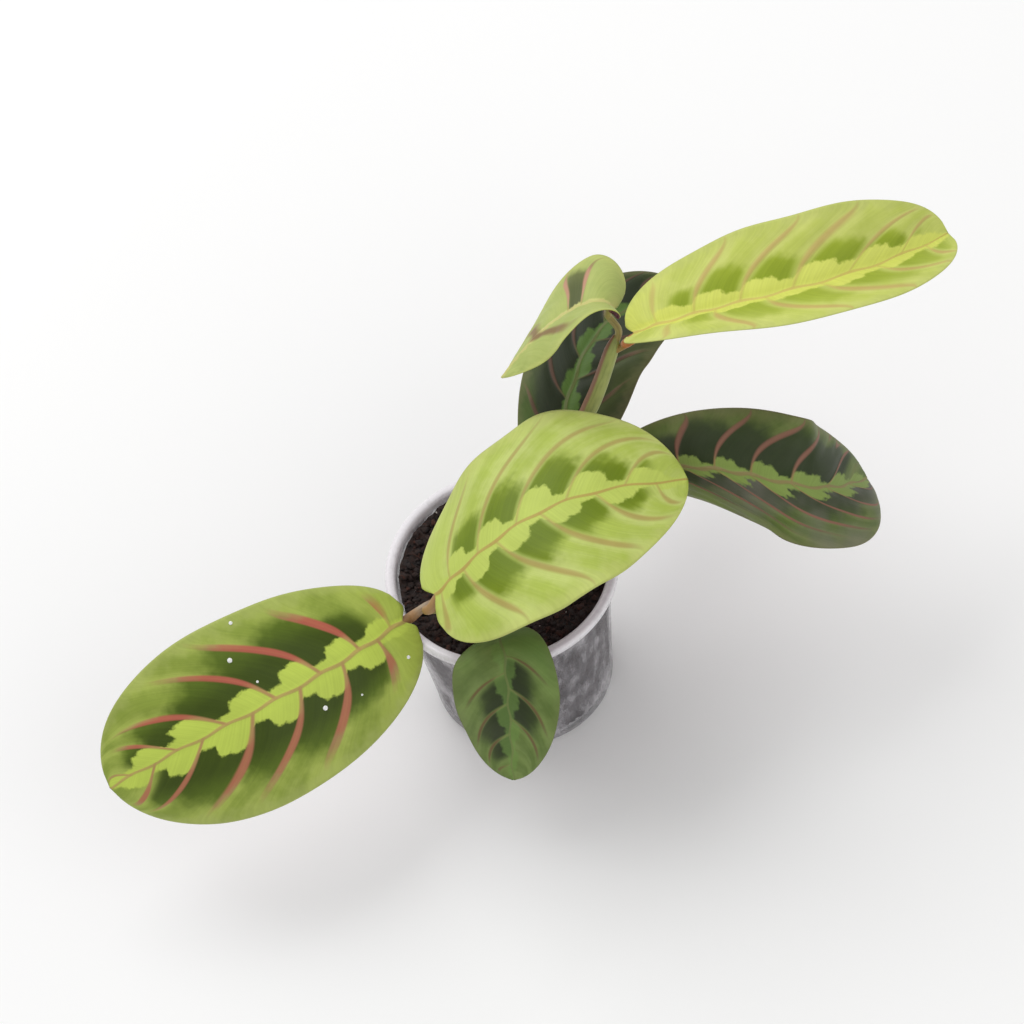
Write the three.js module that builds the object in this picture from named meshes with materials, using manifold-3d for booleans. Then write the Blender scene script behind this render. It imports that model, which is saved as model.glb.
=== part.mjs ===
// A young prayer plant (Maranta leuconeura) in a small clear plastic pot.
// Millimetres, +Z up. The origin is the centre of the pot's flat base, on the surface it stands on.
import * as THREE from "three";
import { mergeVertices } from "three/addons/utils/BufferGeometryUtils.js";
import Module from "manifold-3d";

const wasm = await Module();
wasm.setup();

const { cos, sin, PI } = Math;
const DEGREE = PI / 180;
const GAP = 0.3; // clearance between pieces that touch on the real plant

// The pot: a thin tapered cup with a rolled lip.
const POT_HEIGHT = 50;
const LIP_RADIUS = 30;
const LIP_HEIGHT = 2.4;
const LIP_WIDTH = 2.6;
const BASE_RADIUS = 23.5;
const BASE_BEVEL = 1.4;
const WALL = 0.8;
const BASE_THICKNESS = 1;
const DRAIN_HOLES = 5;
const DRAIN_RADIUS = 2;
const DRAIN_CIRCLE = 14;
const POT_SIDES = 48;

// The soil fills the pot to a little below its lip.
const SOIL_LEVEL = 46.5;
const SOIL_RINGS = 13;
const SOIL_SIDES = 44;
const SOIL_ROUGHNESS = 0.5; // height of the soil's slow rises and dips
const SOIL_WAVE = 0.5; // their turn, in radians a millimetre
const CRUMBS = 70;
const CRUMB_HEIGHT = 0.9;
const CRUMB_RADIUS = 2.1;
const SMALLEST_CRUMB = 0.3; // as a share of the largest

// A stalk goes this far down below its first point, into a hole in the soil that follows its route.
const STALK_DEPTH = 12;
const HOLE_POINTS = 4;
const STALK_SIDES = 8;
const STALK_STEP = 4;

// A leaf blade's mesh: columns from the left edge to the right one, and rows from base to tip that
// follow the side veins. These leave the midrib aslant and then sweep on towards the tip. They lie in
// shallow valleys.
const BLADE_THICKNESS = 0.7;
const BLADE_COLUMNS = [-1, -0.78, -0.5, -0.2, 0, 0.2, 0.5, 0.78, 1];
const ROWS_PER_VEIN = 4;
const VEIN_LEAN = 0.7; // the slant at which the side veins leave the midrib
const VEIN_BEND = 2.1; // how strongly they then bend towards the tip
const EDGE_LEVELLING = 9; // the larger, the nearer to the edge that the veins stop bending
const VALLEY_SHARPNESS = 1.5;
const VALLEY_LIFT = 0.4; // share of a valley's depth by which the blade between valleys is raised
const TIP_HALF_WIDTH = 0.9;
const LOBE_REACH = 0.3; // share of the blade's length over which the base lobes fade out
const LOBE_ROUNDNESS = 1.3;
const WAVE_OFFSET = 0.31; // turns by which the right edge's waves are ahead of the left edge's
const MIDRIB_RIDGE = 0.9; // depth of the midrib under the blade, near its base
const RIDGE_START = 0.08; // share of the blade's length over which the midrib reaches that depth

// Each leaf. Pairs are [left half, right half], seen along the midrib from the base to the tip.
//   midrib     four control points of the midrib's curve
//   width      greatest width of each half
//   fold       angle that each half rises at the midrib, at the blade's base
//   tipFold    the same at the blade's tip
//   curl       angle that each half bends through from the midrib to its edge
//   roll       turn of the whole blade about the midrib, at its base and at its tip
//   widest     share of the length at which each half is widest
//   fullness   how full the outline is towards the base and towards the tip (2 is an ellipse)
//   heel       width of the base edge as a share of the full width
//   lobe       how far the base lobes reach back past the stalk
//   wave       height of the waves of the edge, their number and their phase
//   veins      number of side veins on each half
//   crowding   how they are spaced: evenly at 1, closer together towards the tip below 1
//   stagger    share of the spacing by which those of the right half start ahead
//   sweep      how far they lean and bend, against the usual
//   valley     depth of the valleys that the side veins lie in
//   stalk      points of the stalk from just inside the soil up, before it meets the blade
//   fork       or else the place on the shoot that the stalk grows from, its tip or its side
//   neck       radius of the stalk at its start, at its thinnest and at the blade
const LEAVES = {
  a: {
    midrib: [[-22.3, -21, 56.5], [-43.3, -49, 66.5], [-66.8, -59, 64], [-93.7, -64.5, 46]],
    width: [26, 24.5],
    fold: [-12, 6],
    tipFold: [-10, 13],
    curl: [-25, -14],
    roll: [24, 34],
    widest: [0.54, 0.54],
    fullness: [2.1, 2],
    heel: 0.15,
    lobe: 3,
    wave: [0.7, 3, 0.1],
    veins: 7,
    crowding: 0.85,
    stagger: 0.5,
    sweep: 1,
    valley: 0.5,
    stalk: [[-9, -7, 44], [-12, -10.5, 51], [-17, -15.5, 55]],
    neck: [1.6, 1.1, 1.3],
    color: 0x7fa544,
  },
  b: {
    midrib: [[-11, -25.5, 75.5], [9.1, -12.8, 91.5], [20.8, -5.9, 94.6], [50.5, 4.3, 82.6]],
    width: [30.1, 25.8],
    fold: [-15, 1],
    tipFold: [4, 11],
    curl: [-19, -16],
    roll: [1, -12],
    widest: [0.56, 0.48],
    fullness: [2.4, 1.65],
    heel: 0.27,
    lobe: 3.3,
    wave: [0.9, 3, 0.35],
    veins: 6,
    crowding: 0.7,
    stagger: 0.5,
    sweep: 1.1,
    valley: 0.5,
    stalk: [[-6, -11, 44], [-9, -17, 56], [-14, -26, 69.5]],
    neck: [1.7, 1, 1.3],
    color: 0xb4cf55,
  },
  c: {
    midrib: [[2.7, -24.8, 57], [6, -34.4, 62], [5.2, -39.1, 48], [4.6, -48.7, 26]],
    width: [13, 14.5],
    fold: [6, 3],
    tipFold: [6, 6],
    curl: [-20, -21],
    roll: [-4, 1],
    widest: [0.4, 0.4],
    fullness: [2.1, 1.8],
    heel: 0.2,
    lobe: 1.5,
    wave: [0.5, 2.5, 0.6],
    veins: 5,
    crowding: 0.9,
    stagger: 0.5,
    sweep: 0.9,
    valley: 0.35,
    stalk: [[1, -13, 44], [1.4, -17, 51], [2.2, -22, 56]],
    neck: [1.4, 0.9, 1.1],
    color: 0x4f7038,
  },
  d: {
    midrib: [[30.3, 14.8, 70.8], [65.6, 16.8, 78.1], [78.4, -12.1, 94.1], [92.5, 21.6, 58.6]],
    width: [16.7, 15.9],
    fold: [-11, -32],
    tipFold: [35, 6],
    curl: [-20, -48],
    roll: [-39, -24],
    widest: [0.54, 0.8],
    fullness: [2, 2.3],
    heel: 0.16,
    lobe: 2,
    wave: [0.5, 3, 0.8],
    veins: 8,
    crowding: 0.9,
    stagger: 0,
    sweep: 0.6,
    valley: 0.45,
    stalk: [[9, -4, 44], [13, 0, 53], [21, 8, 63]],
    neck: [1.5, 1, 1],
    color: 0x3a5230,
  },
  e: {
    midrib: [[31.1, 41, 104], [29.7, 41.5, 113.5], [13.2, 39.8, 103], [4, 24.5, 98]],
    width: [9.8, 15.3],
    fold: [47, 15],
    tipFold: [0, -66],
    curl: [-10, -12],
    roll: [0, 0],
    widest: [0.54, 0.15],
    fullness: [2, 1.35],
    heel: 0.15,
    lobe: 1,
    wave: [0.4, 2, 0.2],
    veins: 5,
    crowding: 0.9,
    stagger: 0.5,
    sweep: 0.8,
    valley: 0.3,
    fork: "tip",
    neck: [1, 0.8, 0.9],
    color: 0xa9bd66,
  },
  f: {
    midrib: [[11.6, 20.6, 62], [19.5, 48, 72], [16.5, 58.3, 78], [43.5, 73.3, 70]],
    width: [14, 16],
    fold: [7, 6],
    tipFold: [4, 6],
    curl: [-16, -16],
    roll: [-9, -2],
    widest: [0.55, 0.55],
    fullness: [2.1, 2],
    heel: 0.18,
    lobe: 2,
    wave: [0.7, 3, 0.5],
    veins: 6,
    crowding: 0.9,
    stagger: 0.5,
    sweep: 0.8,
    valley: 0.4,
    stalk: [[-1, 8, 44], [2.5, 11.5, 52], [7, 16, 58.5]],
    neck: [1.4, 1, 1.2],
    color: 0x3f5c2e,
  },
  g: {
    midrib: [[37.4, 32.2, 106], [63, 34.7, 118], [86.4, 33.1, 121], [113.7, 62.7, 106]],
    width: [18, 15],
    fold: [20, 40],
    tipFold: [26, 35],
    curl: [-8, -10],
    roll: [0, -25],
    widest: [0.53, 0.53],
    fullness: [2.2, 2.1],
    heel: 0.16,
    lobe: 2,
    wave: [0.6, 3, 0.15],
    veins: 7,
    crowding: 0.75,
    stagger: 0.5,
    sweep: 0.8,
    valley: 0.45,
    fork: "side",
    neck: [1, 1, 1.2],
    color: 0xbfd65c,
  },
};

// The main shoot: a stem in a sheath that swells at a node, then forks to leaves e and g.
const SHOOT = [[3.5, 1, 44], [9, 12, 62], [23.6, 29.8, 78], [31.6, 38.6, 96.5]];
const SHOOT_RADII = [1.5, 1.4, 2.1, 1.7];
const FORK_SHARE = 0.97; // place of the side fork along the shoot
const FORK_ASIDE = [1, -0.4, 0]; // the way that the side fork leaves it

const CLEAR_PLASTIC = new THREE.MeshStandardMaterial({
  color: 0xc9c8cb,
  roughness: 0.2,
  transparent: true,
  opacity: 0.45,
});
const PEAT = new THREE.MeshStandardMaterial({ color: 0x2a1c17, roughness: 1 });
const STALK_GREEN = new THREE.MeshStandardMaterial({ color: 0x8f8a4a, roughness: 0.5 });

const vector = (point) => new THREE.Vector3(...point);
const mix = (from, to, share) => from + (to - from) * share;

/** A repeatable stream of numbers from 0 to 1. */
function seededRandom(seed) {
  let state = seed;
  return () => {
    state = (state * 16807) % 2147483647;
    return state / 2147483647;
  };
}

/** A named mesh. */
function piece(name, geometry, material) {
  const mesh = new THREE.Mesh(geometry, material);
  mesh.name = name;
  return mesh;
}

/** A geometry from a list of points and a list of triangles. */
function geometryOf(points, triangles) {
  const geometry = new THREE.BufferGeometry();
  geometry.setAttribute("position", new THREE.Float32BufferAttribute(points.flatMap((p) => p.toArray()), 3));
  geometry.setIndex(triangles);
  geometry.computeVertexNormals();
  return geometry;
}

/** A closed geometry as a solid that can be cut and joined. */
function solidOf(geometry) {
  const bare = geometry.clone();
  bare.deleteAttribute("normal");
  bare.deleteAttribute("uv");
  const merged = mergeVertices(bare, 1e-4);
  const mesh = new wasm.Mesh({
    numProp: 3,
    vertProperties: new Float32Array(merged.attributes.position.array),
    triVerts: new Uint32Array(merged.index.array),
  });
  return new wasm.Manifold(mesh);
}

/** A solid as a geometry. */
function geometryFrom(solid) {
  const mesh = solid.getMesh();
  const geometry = new THREE.BufferGeometry();
  geometry.setAttribute("position", new THREE.BufferAttribute(new Float32Array(mesh.vertProperties), 3));
  geometry.setIndex(new THREE.BufferAttribute(new Uint32Array(mesh.triVerts), 1));
  geometry.computeVertexNormals();
  return geometry;
}

/** Turned about the Z axis from [radius, height] pairs that start and end on the axis. */
function turned(profile, sides) {
  const points = profile.map(([radius, height]) => new THREE.Vector2(radius, height));
  return new THREE.LatheGeometry(points, sides).rotateX(PI / 2);
}

/** Inner radius of the pot's wall at a height. */
function potInside(height) {
  const top = LIP_RADIUS - LIP_WIDTH;
  return mix(BASE_RADIUS - WALL, top, height / POT_HEIGHT);
}

/** The pot: base, tapered wall and rolled lip, with drain holes in the base. */
function potGeometry() {
  const lipFoot = POT_HEIGHT - LIP_HEIGHT;
  const round = LIP_HEIGHT / 3;
  const profile = [
    [0, 0],
    [BASE_RADIUS - BASE_BEVEL, 0],
    [BASE_RADIUS - BASE_BEVEL / 3, BASE_BEVEL / 3],
    [BASE_RADIUS, BASE_BEVEL],
    [potInside(lipFoot) + WALL, lipFoot],
    [LIP_RADIUS - round, lipFoot],
    [LIP_RADIUS, lipFoot + round],
    [LIP_RADIUS, POT_HEIGHT - round],
    [LIP_RADIUS - round, POT_HEIGHT],
    [potInside(POT_HEIGHT) + round, POT_HEIGHT],
    [potInside(POT_HEIGHT), POT_HEIGHT - round],
    [potInside(BASE_BEVEL + BASE_THICKNESS), BASE_BEVEL + BASE_THICKNESS],
    [BASE_RADIUS - BASE_BEVEL - WALL / 2, BASE_THICKNESS],
    [0, BASE_THICKNESS],
  ];
  let pot = solidOf(turned(profile, POT_SIDES));
  for (let i = 0; i < DRAIN_HOLES; i += 1) {
    const angle = (2 * PI * i) / DRAIN_HOLES;
    const drill = new THREE.CylinderGeometry(DRAIN_RADIUS, DRAIN_RADIUS, 4 * BASE_THICKNESS, 12);
    drill.rotateX(PI / 2).translate(DRAIN_CIRCLE * cos(angle), DRAIN_CIRCLE * sin(angle), 0);
    pot = pot.subtract(solidOf(drill));
  }
  return geometryFrom(pot);
}

/** The soil: a plug that follows the pot's inside, with a crumbly top. */
function soilGeometry(holes) {
  const random = seededRandom(11);
  const crumbs = Array.from({ length: CRUMBS }, () => {
    const radius = potInside(SOIL_LEVEL) * Math.sqrt(random());
    const angle = 2 * PI * random();
    const size = mix(SMALLEST_CRUMB, 1, random());
    return { x: radius * cos(angle), y: radius * sin(angle), size };
  });
  const heightAt = (x, y) => {
    const slow = sin(SOIL_WAVE * x + 1) * cos(SOIL_WAVE * y);
    const quick = sin(2 * SOIL_WAVE * (x + y)) / 2;
    let height = SOIL_ROUGHNESS * (slow + quick);
    for (const crumb of crumbs) {
      const distance = Math.hypot(x - crumb.x, y - crumb.y) / (CRUMB_RADIUS * crumb.size);
      height += CRUMB_HEIGHT * crumb.size * Math.exp(-distance * distance);
    }
    return height;
  };
  const floor = BASE_THICKNESS + GAP;
  const topRadius = potInside(SOIL_LEVEL) - GAP;
  const ring = (radius, height) =>
    Array.from({ length: SOIL_SIDES }, (_, k) => {
      const angle = (2 * PI * k) / SOIL_SIDES;
      return new THREE.Vector3(radius * cos(angle), radius * sin(angle), height);
    });
  const rings = [ring(BASE_RADIUS - BASE_BEVEL - WALL, floor)];
  rings.push(ring(potInside(BASE_BEVEL + BASE_THICKNESS) - GAP, BASE_BEVEL + BASE_THICKNESS + GAP));
  rings.push(ring(topRadius, SOIL_LEVEL));
  for (let i = SOIL_RINGS - 1; i > 0; i -= 1) {
    const points = ring((topRadius * i) / SOIL_RINGS, SOIL_LEVEL);
    points.forEach((p) => p.setZ(SOIL_LEVEL + heightAt(p.x, p.y)));
    rings.push(points);
  }
  const ends = [new THREE.Vector3(0, 0, floor), new THREE.Vector3(0, 0, SOIL_LEVEL + heightAt(0, 0))];
  const soil = holes.reduce((body, hole) => body.subtract(hole), solidOf(ringsGeometry(rings, ends)));
  return geometryFrom(soil);
}

/** A closed skin over rings of points of equal count, closed to a point at each end. */
function ringsGeometry(rings, [first, last]) {
  const sides = rings[0].length;
  const points = [...rings.flat(), first, last];
  const bottom = points.length - 2;
  const top = points.length - 1;
  const triangles = [];
  for (let k = 0; k < sides; k += 1) {
    const next = (k + 1) % sides;
    for (let i = 0; i < rings.length - 1; i += 1) {
      const low = i * sides;
      const high = low + sides;
      triangles.push(low + k, low + next, high + next);
      triangles.push(low + k, high + next, high + k);
    }
    const end = (rings.length - 1) * sides;
    triangles.push(bottom, next, k);
    triangles.push(top, end + k, end + next);
  }
  return geometryOf(points, triangles);
}

/** A round stalk of changing radius along a smooth curve through points. */
function stalkGeometry(points, radii, sides = STALK_SIDES) {
  const curve = new THREE.CatmullRomCurve3(points.map(vector), false, "centripetal");
  const steps = Math.max(4, Math.round(curve.getLength() / STALK_STEP));
  const frames = curve.computeFrenetFrames(steps, false);
  const radiusAt = (share) => {
    const place = share * (radii.length - 1);
    const index = Math.min(Math.floor(place), radii.length - 2);
    return mix(radii[index], radii[index + 1], place - index);
  };
  const rings = [];
  for (let i = 0; i <= steps; i += 1) {
    const centre = curve.getPointAt(i / steps);
    const radius = radiusAt(i / steps);
    rings.push(
      Array.from({ length: sides }, (_, k) => {
        const angle = (2 * PI * k) / sides;
        const out = frames.normals[i].clone().multiplyScalar(radius * cos(angle));
        return out.addScaledVector(frames.binormals[i], radius * sin(angle)).add(centre);
      }),
    );
  }
  return ringsGeometry(rings, [curve.getPointAt(0), curve.getPointAt(1)]);
}

/** Width of one half of a blade, as a share of its greatest, at a share of the blade's length. */
function outlineAt(leaf, side, u) {
  const widest = leaf.widest[side];
  const [baseFullness, tipFullness] = leaf.fullness;
  if (u < widest) {
    return mix(leaf.heel, 1, (1 - (1 - u / widest) ** baseFullness) ** (1 / baseFullness));
  }
  return (1 - ((u - widest) / (1 - widest)) ** tipFullness) ** (1 / tipFullness);
}

/** Share of the blade's length at which a vein line, whole or between two veins, leaves the midrib. */
function veinStart(leaf, line) {
  return (line / leaf.veins) ** (1 / leaf.crowding);
}

/** Share of the blade's length that a vein line has reached at column v. */
function veinReach(leaf, line, v) {
  const r = veinStart(leaf, line);
  const reach = Math.abs(v) - Math.abs(v) ** EDGE_LEVELLING / EDGE_LEVELLING;
  const sweep = leaf.sweep * (VEIN_LEAN * reach + VEIN_BEND * reach ** 3) * (1 - r ** 3);
  return 1 - (1 - r) ** (1 + sweep);
}

/** Height of the blade over the valleys and the low ridges between them. */
function valleyRise(leaf, line, u, v) {
  const turns = line + (v > 0 ? leaf.stagger : 0);
  const valley = ((1 + cos(2 * PI * turns)) / 2) ** VALLEY_SHARPNESS;
  const fade = Math.sqrt(sin(PI * Math.abs(v)) * sin(PI * u));
  return leaf.valley * (VALLEY_LIFT - valley) * fade;
}

/** The blade's own directions at a share of its length: along it, to its right, and up from it. */
function bladeFrame(leaf, curve, u) {
  const along = curve.getTangentAt(u);
  const level = new THREE.Vector3().crossVectors(along, new THREE.Vector3(0, 0, 1)).normalize();
  const raised = new THREE.Vector3().crossVectors(level, along);
  const roll = mix(leaf.roll[0], leaf.roll[1], u) * DEGREE;
  const right = level.clone().multiplyScalar(cos(roll)).addScaledVector(raised, sin(roll));
  const up = raised.clone().multiplyScalar(cos(roll)).addScaledVector(level, -sin(roll));
  return { along, right, up };
}

/** A point of the blade's middle surface, on a vein line at column v, and the normal there. */
function bladePoint(leaf, curve, line, v) {
  const u = veinReach(leaf, line, v);
  const { along, right, up } = bladeFrame(leaf, curve, u);
  const side = v > 0 ? 1 : 0;
  const sign = v > 0 ? 1 : -1;
  const reach = Math.abs(v);
  const fold = mix(leaf.fold[side], leaf.tipFold[side], u) * DEGREE;
  const curl = leaf.curl[side] * DEGREE;
  const width = Math.max(leaf.width[side] * outlineAt(leaf, side, u), TIP_HALF_WIDTH);
  const across = (width * (sin(fold + curl * reach) - sin(fold))) / curl;
  const [waveHeight, waves, phase] = leaf.wave;
  const ripple = waveHeight * sin(2 * PI * (waves * u + phase + WAVE_OFFSET * side)) * reach ** 3;
  const rise = (width * (cos(fold) - cos(fold + curl * reach))) / curl + ripple * sin(PI * u);
  const lobe = leaf.lobe * sin((reach * PI) / 2) ** LOBE_ROUNDNESS;
  const back = lobe * Math.max(0, 1 - u / LOBE_REACH) ** 2;
  const point = curve.getPointAt(u).addScaledVector(right, sign * across);
  point.addScaledVector(up, rise).addScaledVector(along, -back);
  const folds = leaf.fold.map((base, k) => mix(base, leaf.tipFold[k], u) * DEGREE);
  const slope = v === 0 ? (folds[1] - folds[0]) / 2 : sign * (fold + curl * reach);
  const normal = up.clone().multiplyScalar(cos(slope)).addScaledVector(right, -sin(slope));
  point.addScaledVector(normal, valleyRise(leaf, line, u, v));
  return { point, normal };
}

/** A blade: two skins with the same triangles, closed round the edge, and a midrib ridge below. */
function bladeGeometry(leaf) {
  const curve = new THREE.CubicBezierCurve3(...leaf.midrib.map(vector));
  const columns = BLADE_COLUMNS.length;
  const steps = leaf.veins * ROWS_PER_VEIN;
  const rows = [0, 0.5, ...Array.from({ length: steps - 1 }, (_, i) => i + 1), steps - 0.5, steps];
  const upper = [];
  const lower = [];
  for (const row of rows) {
    const line = row / ROWS_PER_VEIN;
    const start = veinStart(leaf, line);
    const midrib = MIDRIB_RIDGE * (1 - start) * Math.min(1, start / RIDGE_START);
    for (const v of BLADE_COLUMNS) {
      const { point, normal } = bladePoint(leaf, curve, line, v);
      const ridge = v === 0 ? midrib : 0;
      upper.push(point.clone().addScaledVector(normal, BLADE_THICKNESS / 2));
      lower.push(point.clone().addScaledVector(normal, -BLADE_THICKNESS / 2 - ridge));
    }
  }
  const under = upper.length;
  const triangles = [];
  const quad = (a, b, c, d) => triangles.push(a, b, c, a, c, d);
  for (let i = 0; i < rows.length - 1; i += 1) {
    for (let j = 0; j < columns - 1; j += 1) {
      const a = i * columns + j;
      const [b, c, d] = [a + 1, a + columns + 1, a + columns];
      quad(a, b, c, d);
      triangles.push(under + a, under + c, under + b, under + a, under + d, under + c);
    }
    const left = i * columns;
    const right = left + columns - 1;
    quad(left, left + columns, under + left + columns, under + left);
    quad(right, under + right, under + right + columns, right + columns);
  }
  const lastRow = (rows.length - 1) * columns;
  for (let j = 0; j < columns - 1; j += 1) {
    quad(j, under + j, under + j + 1, j + 1);
    quad(lastRow + j, lastRow + j + 1, under + lastRow + j + 1, under + lastRow + j);
  }
  return geometryOf([...upper, ...lower], triangles);
}

/** Where a leaf's stalk ends, just under the heel of the blade, and the point before it. Halves that
 * droop from the midrib put it lower. */
function stalkTop(leaf) {
  const curve = new THREE.CubicBezierCurve3(...leaf.midrib.map(vector));
  const { along, up } = bladeFrame(leaf, curve, 0);
  const radius = leaf.neck[2];
  const droop = Math.max(0, ...leaf.fold.map((fold, side) => -fold - leaf.curl[side] / 2)) * DEGREE;
  const clearance = BLADE_THICKNESS / 2 + 2 * GAP + radius / cos(droop);
  const end = curve.getPointAt(0).addScaledVector(up, -clearance).addScaledVector(along, 1);
  const before = end.clone().addScaledVector(along, -3 * radius).addScaledVector(up, -radius);
  return [before.toArray(), end.toArray()];
}

/** A line of points carried on down into the soil. */
function rooted(points) {
  const [x, y, z] = points[0];
  return [[x, y, z - STALK_DEPTH], ...points];
}

/** The first points of a stalk that grows from the shoot, out of its tip or out of its side. */
function forkPoints(fork) {
  const curve = new THREE.CatmullRomCurve3(SHOOT.map(vector), false, "centripetal");
  if (fork === "tip") {
    const along = curve.getTangentAt(1);
    const start = curve.getPointAt(1).addScaledVector(along, GAP);
    return [start.toArray(), start.clone().addScaledVector(along, 2).toArray()];
  }
  const aside = vector(FORK_ASIDE).normalize();
  const start = curve.getPointAt(FORK_SHARE).addScaledVector(aside, SHOOT_RADII.at(-1) + 4 * GAP);
  return [start.toArray()];
}

/** A leaf's stalk: its points from the soil or the shoot up to the blade, and its radii there. */
function stalkOf(leaf) {
  const [base, thin, top] = leaf.neck;
  const start = leaf.stalk ? rooted(leaf.stalk) : forkPoints(leaf.fork);
  const radii = [base, base, thin, thin, top];
  return { points: [...start, ...stalkTop(leaf)], radii, inSoil: Boolean(leaf.stalk) };
}

/** The hole in the soil that a stalk stands in, clear of it all round. */
function holeFor({ points, radii }) {
  const [x, y, z] = points[0];
  const route = [[x, y, z - GAP], ...points.slice(1, HOLE_POINTS)];
  const radius = (radii[0] + GAP) / cos(PI / STALK_SIDES);
  return solidOf(stalkGeometry(route, Array(HOLE_POINTS).fill(radius)));
}

const stalks = {
  shoot_stem: { points: rooted(SHOOT), radii: [SHOOT_RADII[0], ...SHOOT_RADII], inSoil: true },
};
for (const [letter, leaf] of Object.entries(LEAVES)) {
  stalks[`stalk_${letter}`] = stalkOf(leaf);
}
const holes = Object.values(stalks).filter((stalk) => stalk.inSoil).map(holeFor);

const plant = new THREE.Group();
plant.add(piece("pot", potGeometry(), CLEAR_PLASTIC));
plant.add(piece("soil", soilGeometry(holes), PEAT));
for (const [name, { points, radii }] of Object.entries(stalks)) {
  plant.add(piece(name, stalkGeometry(points, radii), STALK_GREEN));
}
for (const [letter, leaf] of Object.entries(LEAVES)) {
  const material = new THREE.MeshStandardMaterial({ color: leaf.color, roughness: 0.45 });
  plant.add(piece(`leaf_${letter}`, bladeGeometry(leaf), material));
}

export default plant;
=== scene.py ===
"""The looks of a young prayer plant in a small clear plastic pot.

Everything is in metres, +Z up, with the origin at the centre of the pot's flat base. The plant's
own sizes are written in millimetres, as they are measured, and turned to metres when a mesh is made.
"""

from __future__ import annotations

import logging
import math
from dataclasses import dataclass, field, fields, replace
from enum import Enum
from functools import partial, reduce

import bmesh
import bpy
import numpy as np
from mathutils import Matrix, Vector


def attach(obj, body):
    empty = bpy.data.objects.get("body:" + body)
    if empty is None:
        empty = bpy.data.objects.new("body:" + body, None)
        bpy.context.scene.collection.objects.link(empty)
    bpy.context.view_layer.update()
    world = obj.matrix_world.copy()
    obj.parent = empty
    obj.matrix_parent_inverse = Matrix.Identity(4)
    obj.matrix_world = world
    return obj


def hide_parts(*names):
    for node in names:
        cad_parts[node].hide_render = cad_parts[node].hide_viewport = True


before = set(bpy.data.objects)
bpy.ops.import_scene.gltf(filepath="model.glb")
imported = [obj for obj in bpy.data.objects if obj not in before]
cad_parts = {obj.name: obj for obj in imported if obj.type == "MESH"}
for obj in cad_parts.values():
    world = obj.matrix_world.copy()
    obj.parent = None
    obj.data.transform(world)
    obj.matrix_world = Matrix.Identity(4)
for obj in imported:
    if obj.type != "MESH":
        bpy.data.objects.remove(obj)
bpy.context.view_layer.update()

LOG = logging.getLogger("prayer_plant")
MM = 0.001
BODY = "root"
PINHOLE = 0.02  # radius of the ring at the middle of a round face, in millimetres

Array = np.ndarray
Point = tuple[float, float, float]
Pair = tuple[float, float]
Colour = tuple[float, float, float, float]
Socket = bpy.types.NodeSocket


class Slot(Enum):
    """The material slots."""

    PLASTIC = "clear_plastic"
    PEAT = "peat"
    MARGINED = "leaf_margined"
    PALE = "leaf_pale"
    DARK = "leaf_dark"
    STALK = "stalk"


class Fork(Enum):
    """The places on the shoot that a leaf stalk grows from."""

    TIP = "tip"
    SIDE = "side"


class LeafMap(Enum):
    """The surface coordinates that each blade carries."""

    VEINS = "vein_lines"  # place from edge to edge, -1 to 1, and place among the side veins
    SIZES = "blade_sizes"  # distance from the midrib and distance between vein lines, in mm


class StalkMap(Enum):
    """The surface coordinates that each stalk carries."""

    ROUND = "round_and_along"  # turn round the stalk, 0 to 1, and length along it in mm


def colour(code: str) -> Colour:
    """The scene-linear colour of an sRGB one.

    Args:
        code: the sRGB colour as six hexadecimal digits.

    Returns:
        Its red, green and blue in linear light, and an opacity of 1.
    """
    parts = [int(code[i : i + 2], 16) / 255 for i in (0, 2, 4)]
    linear = [p / 12.92 if p <= 0.04045 else ((p + 0.055) / 1.055) ** 2.4 for p in parts]
    return (linear[0], linear[1], linear[2], 1.0)


# ---------------------------------------------------------------- shader nodes


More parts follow.
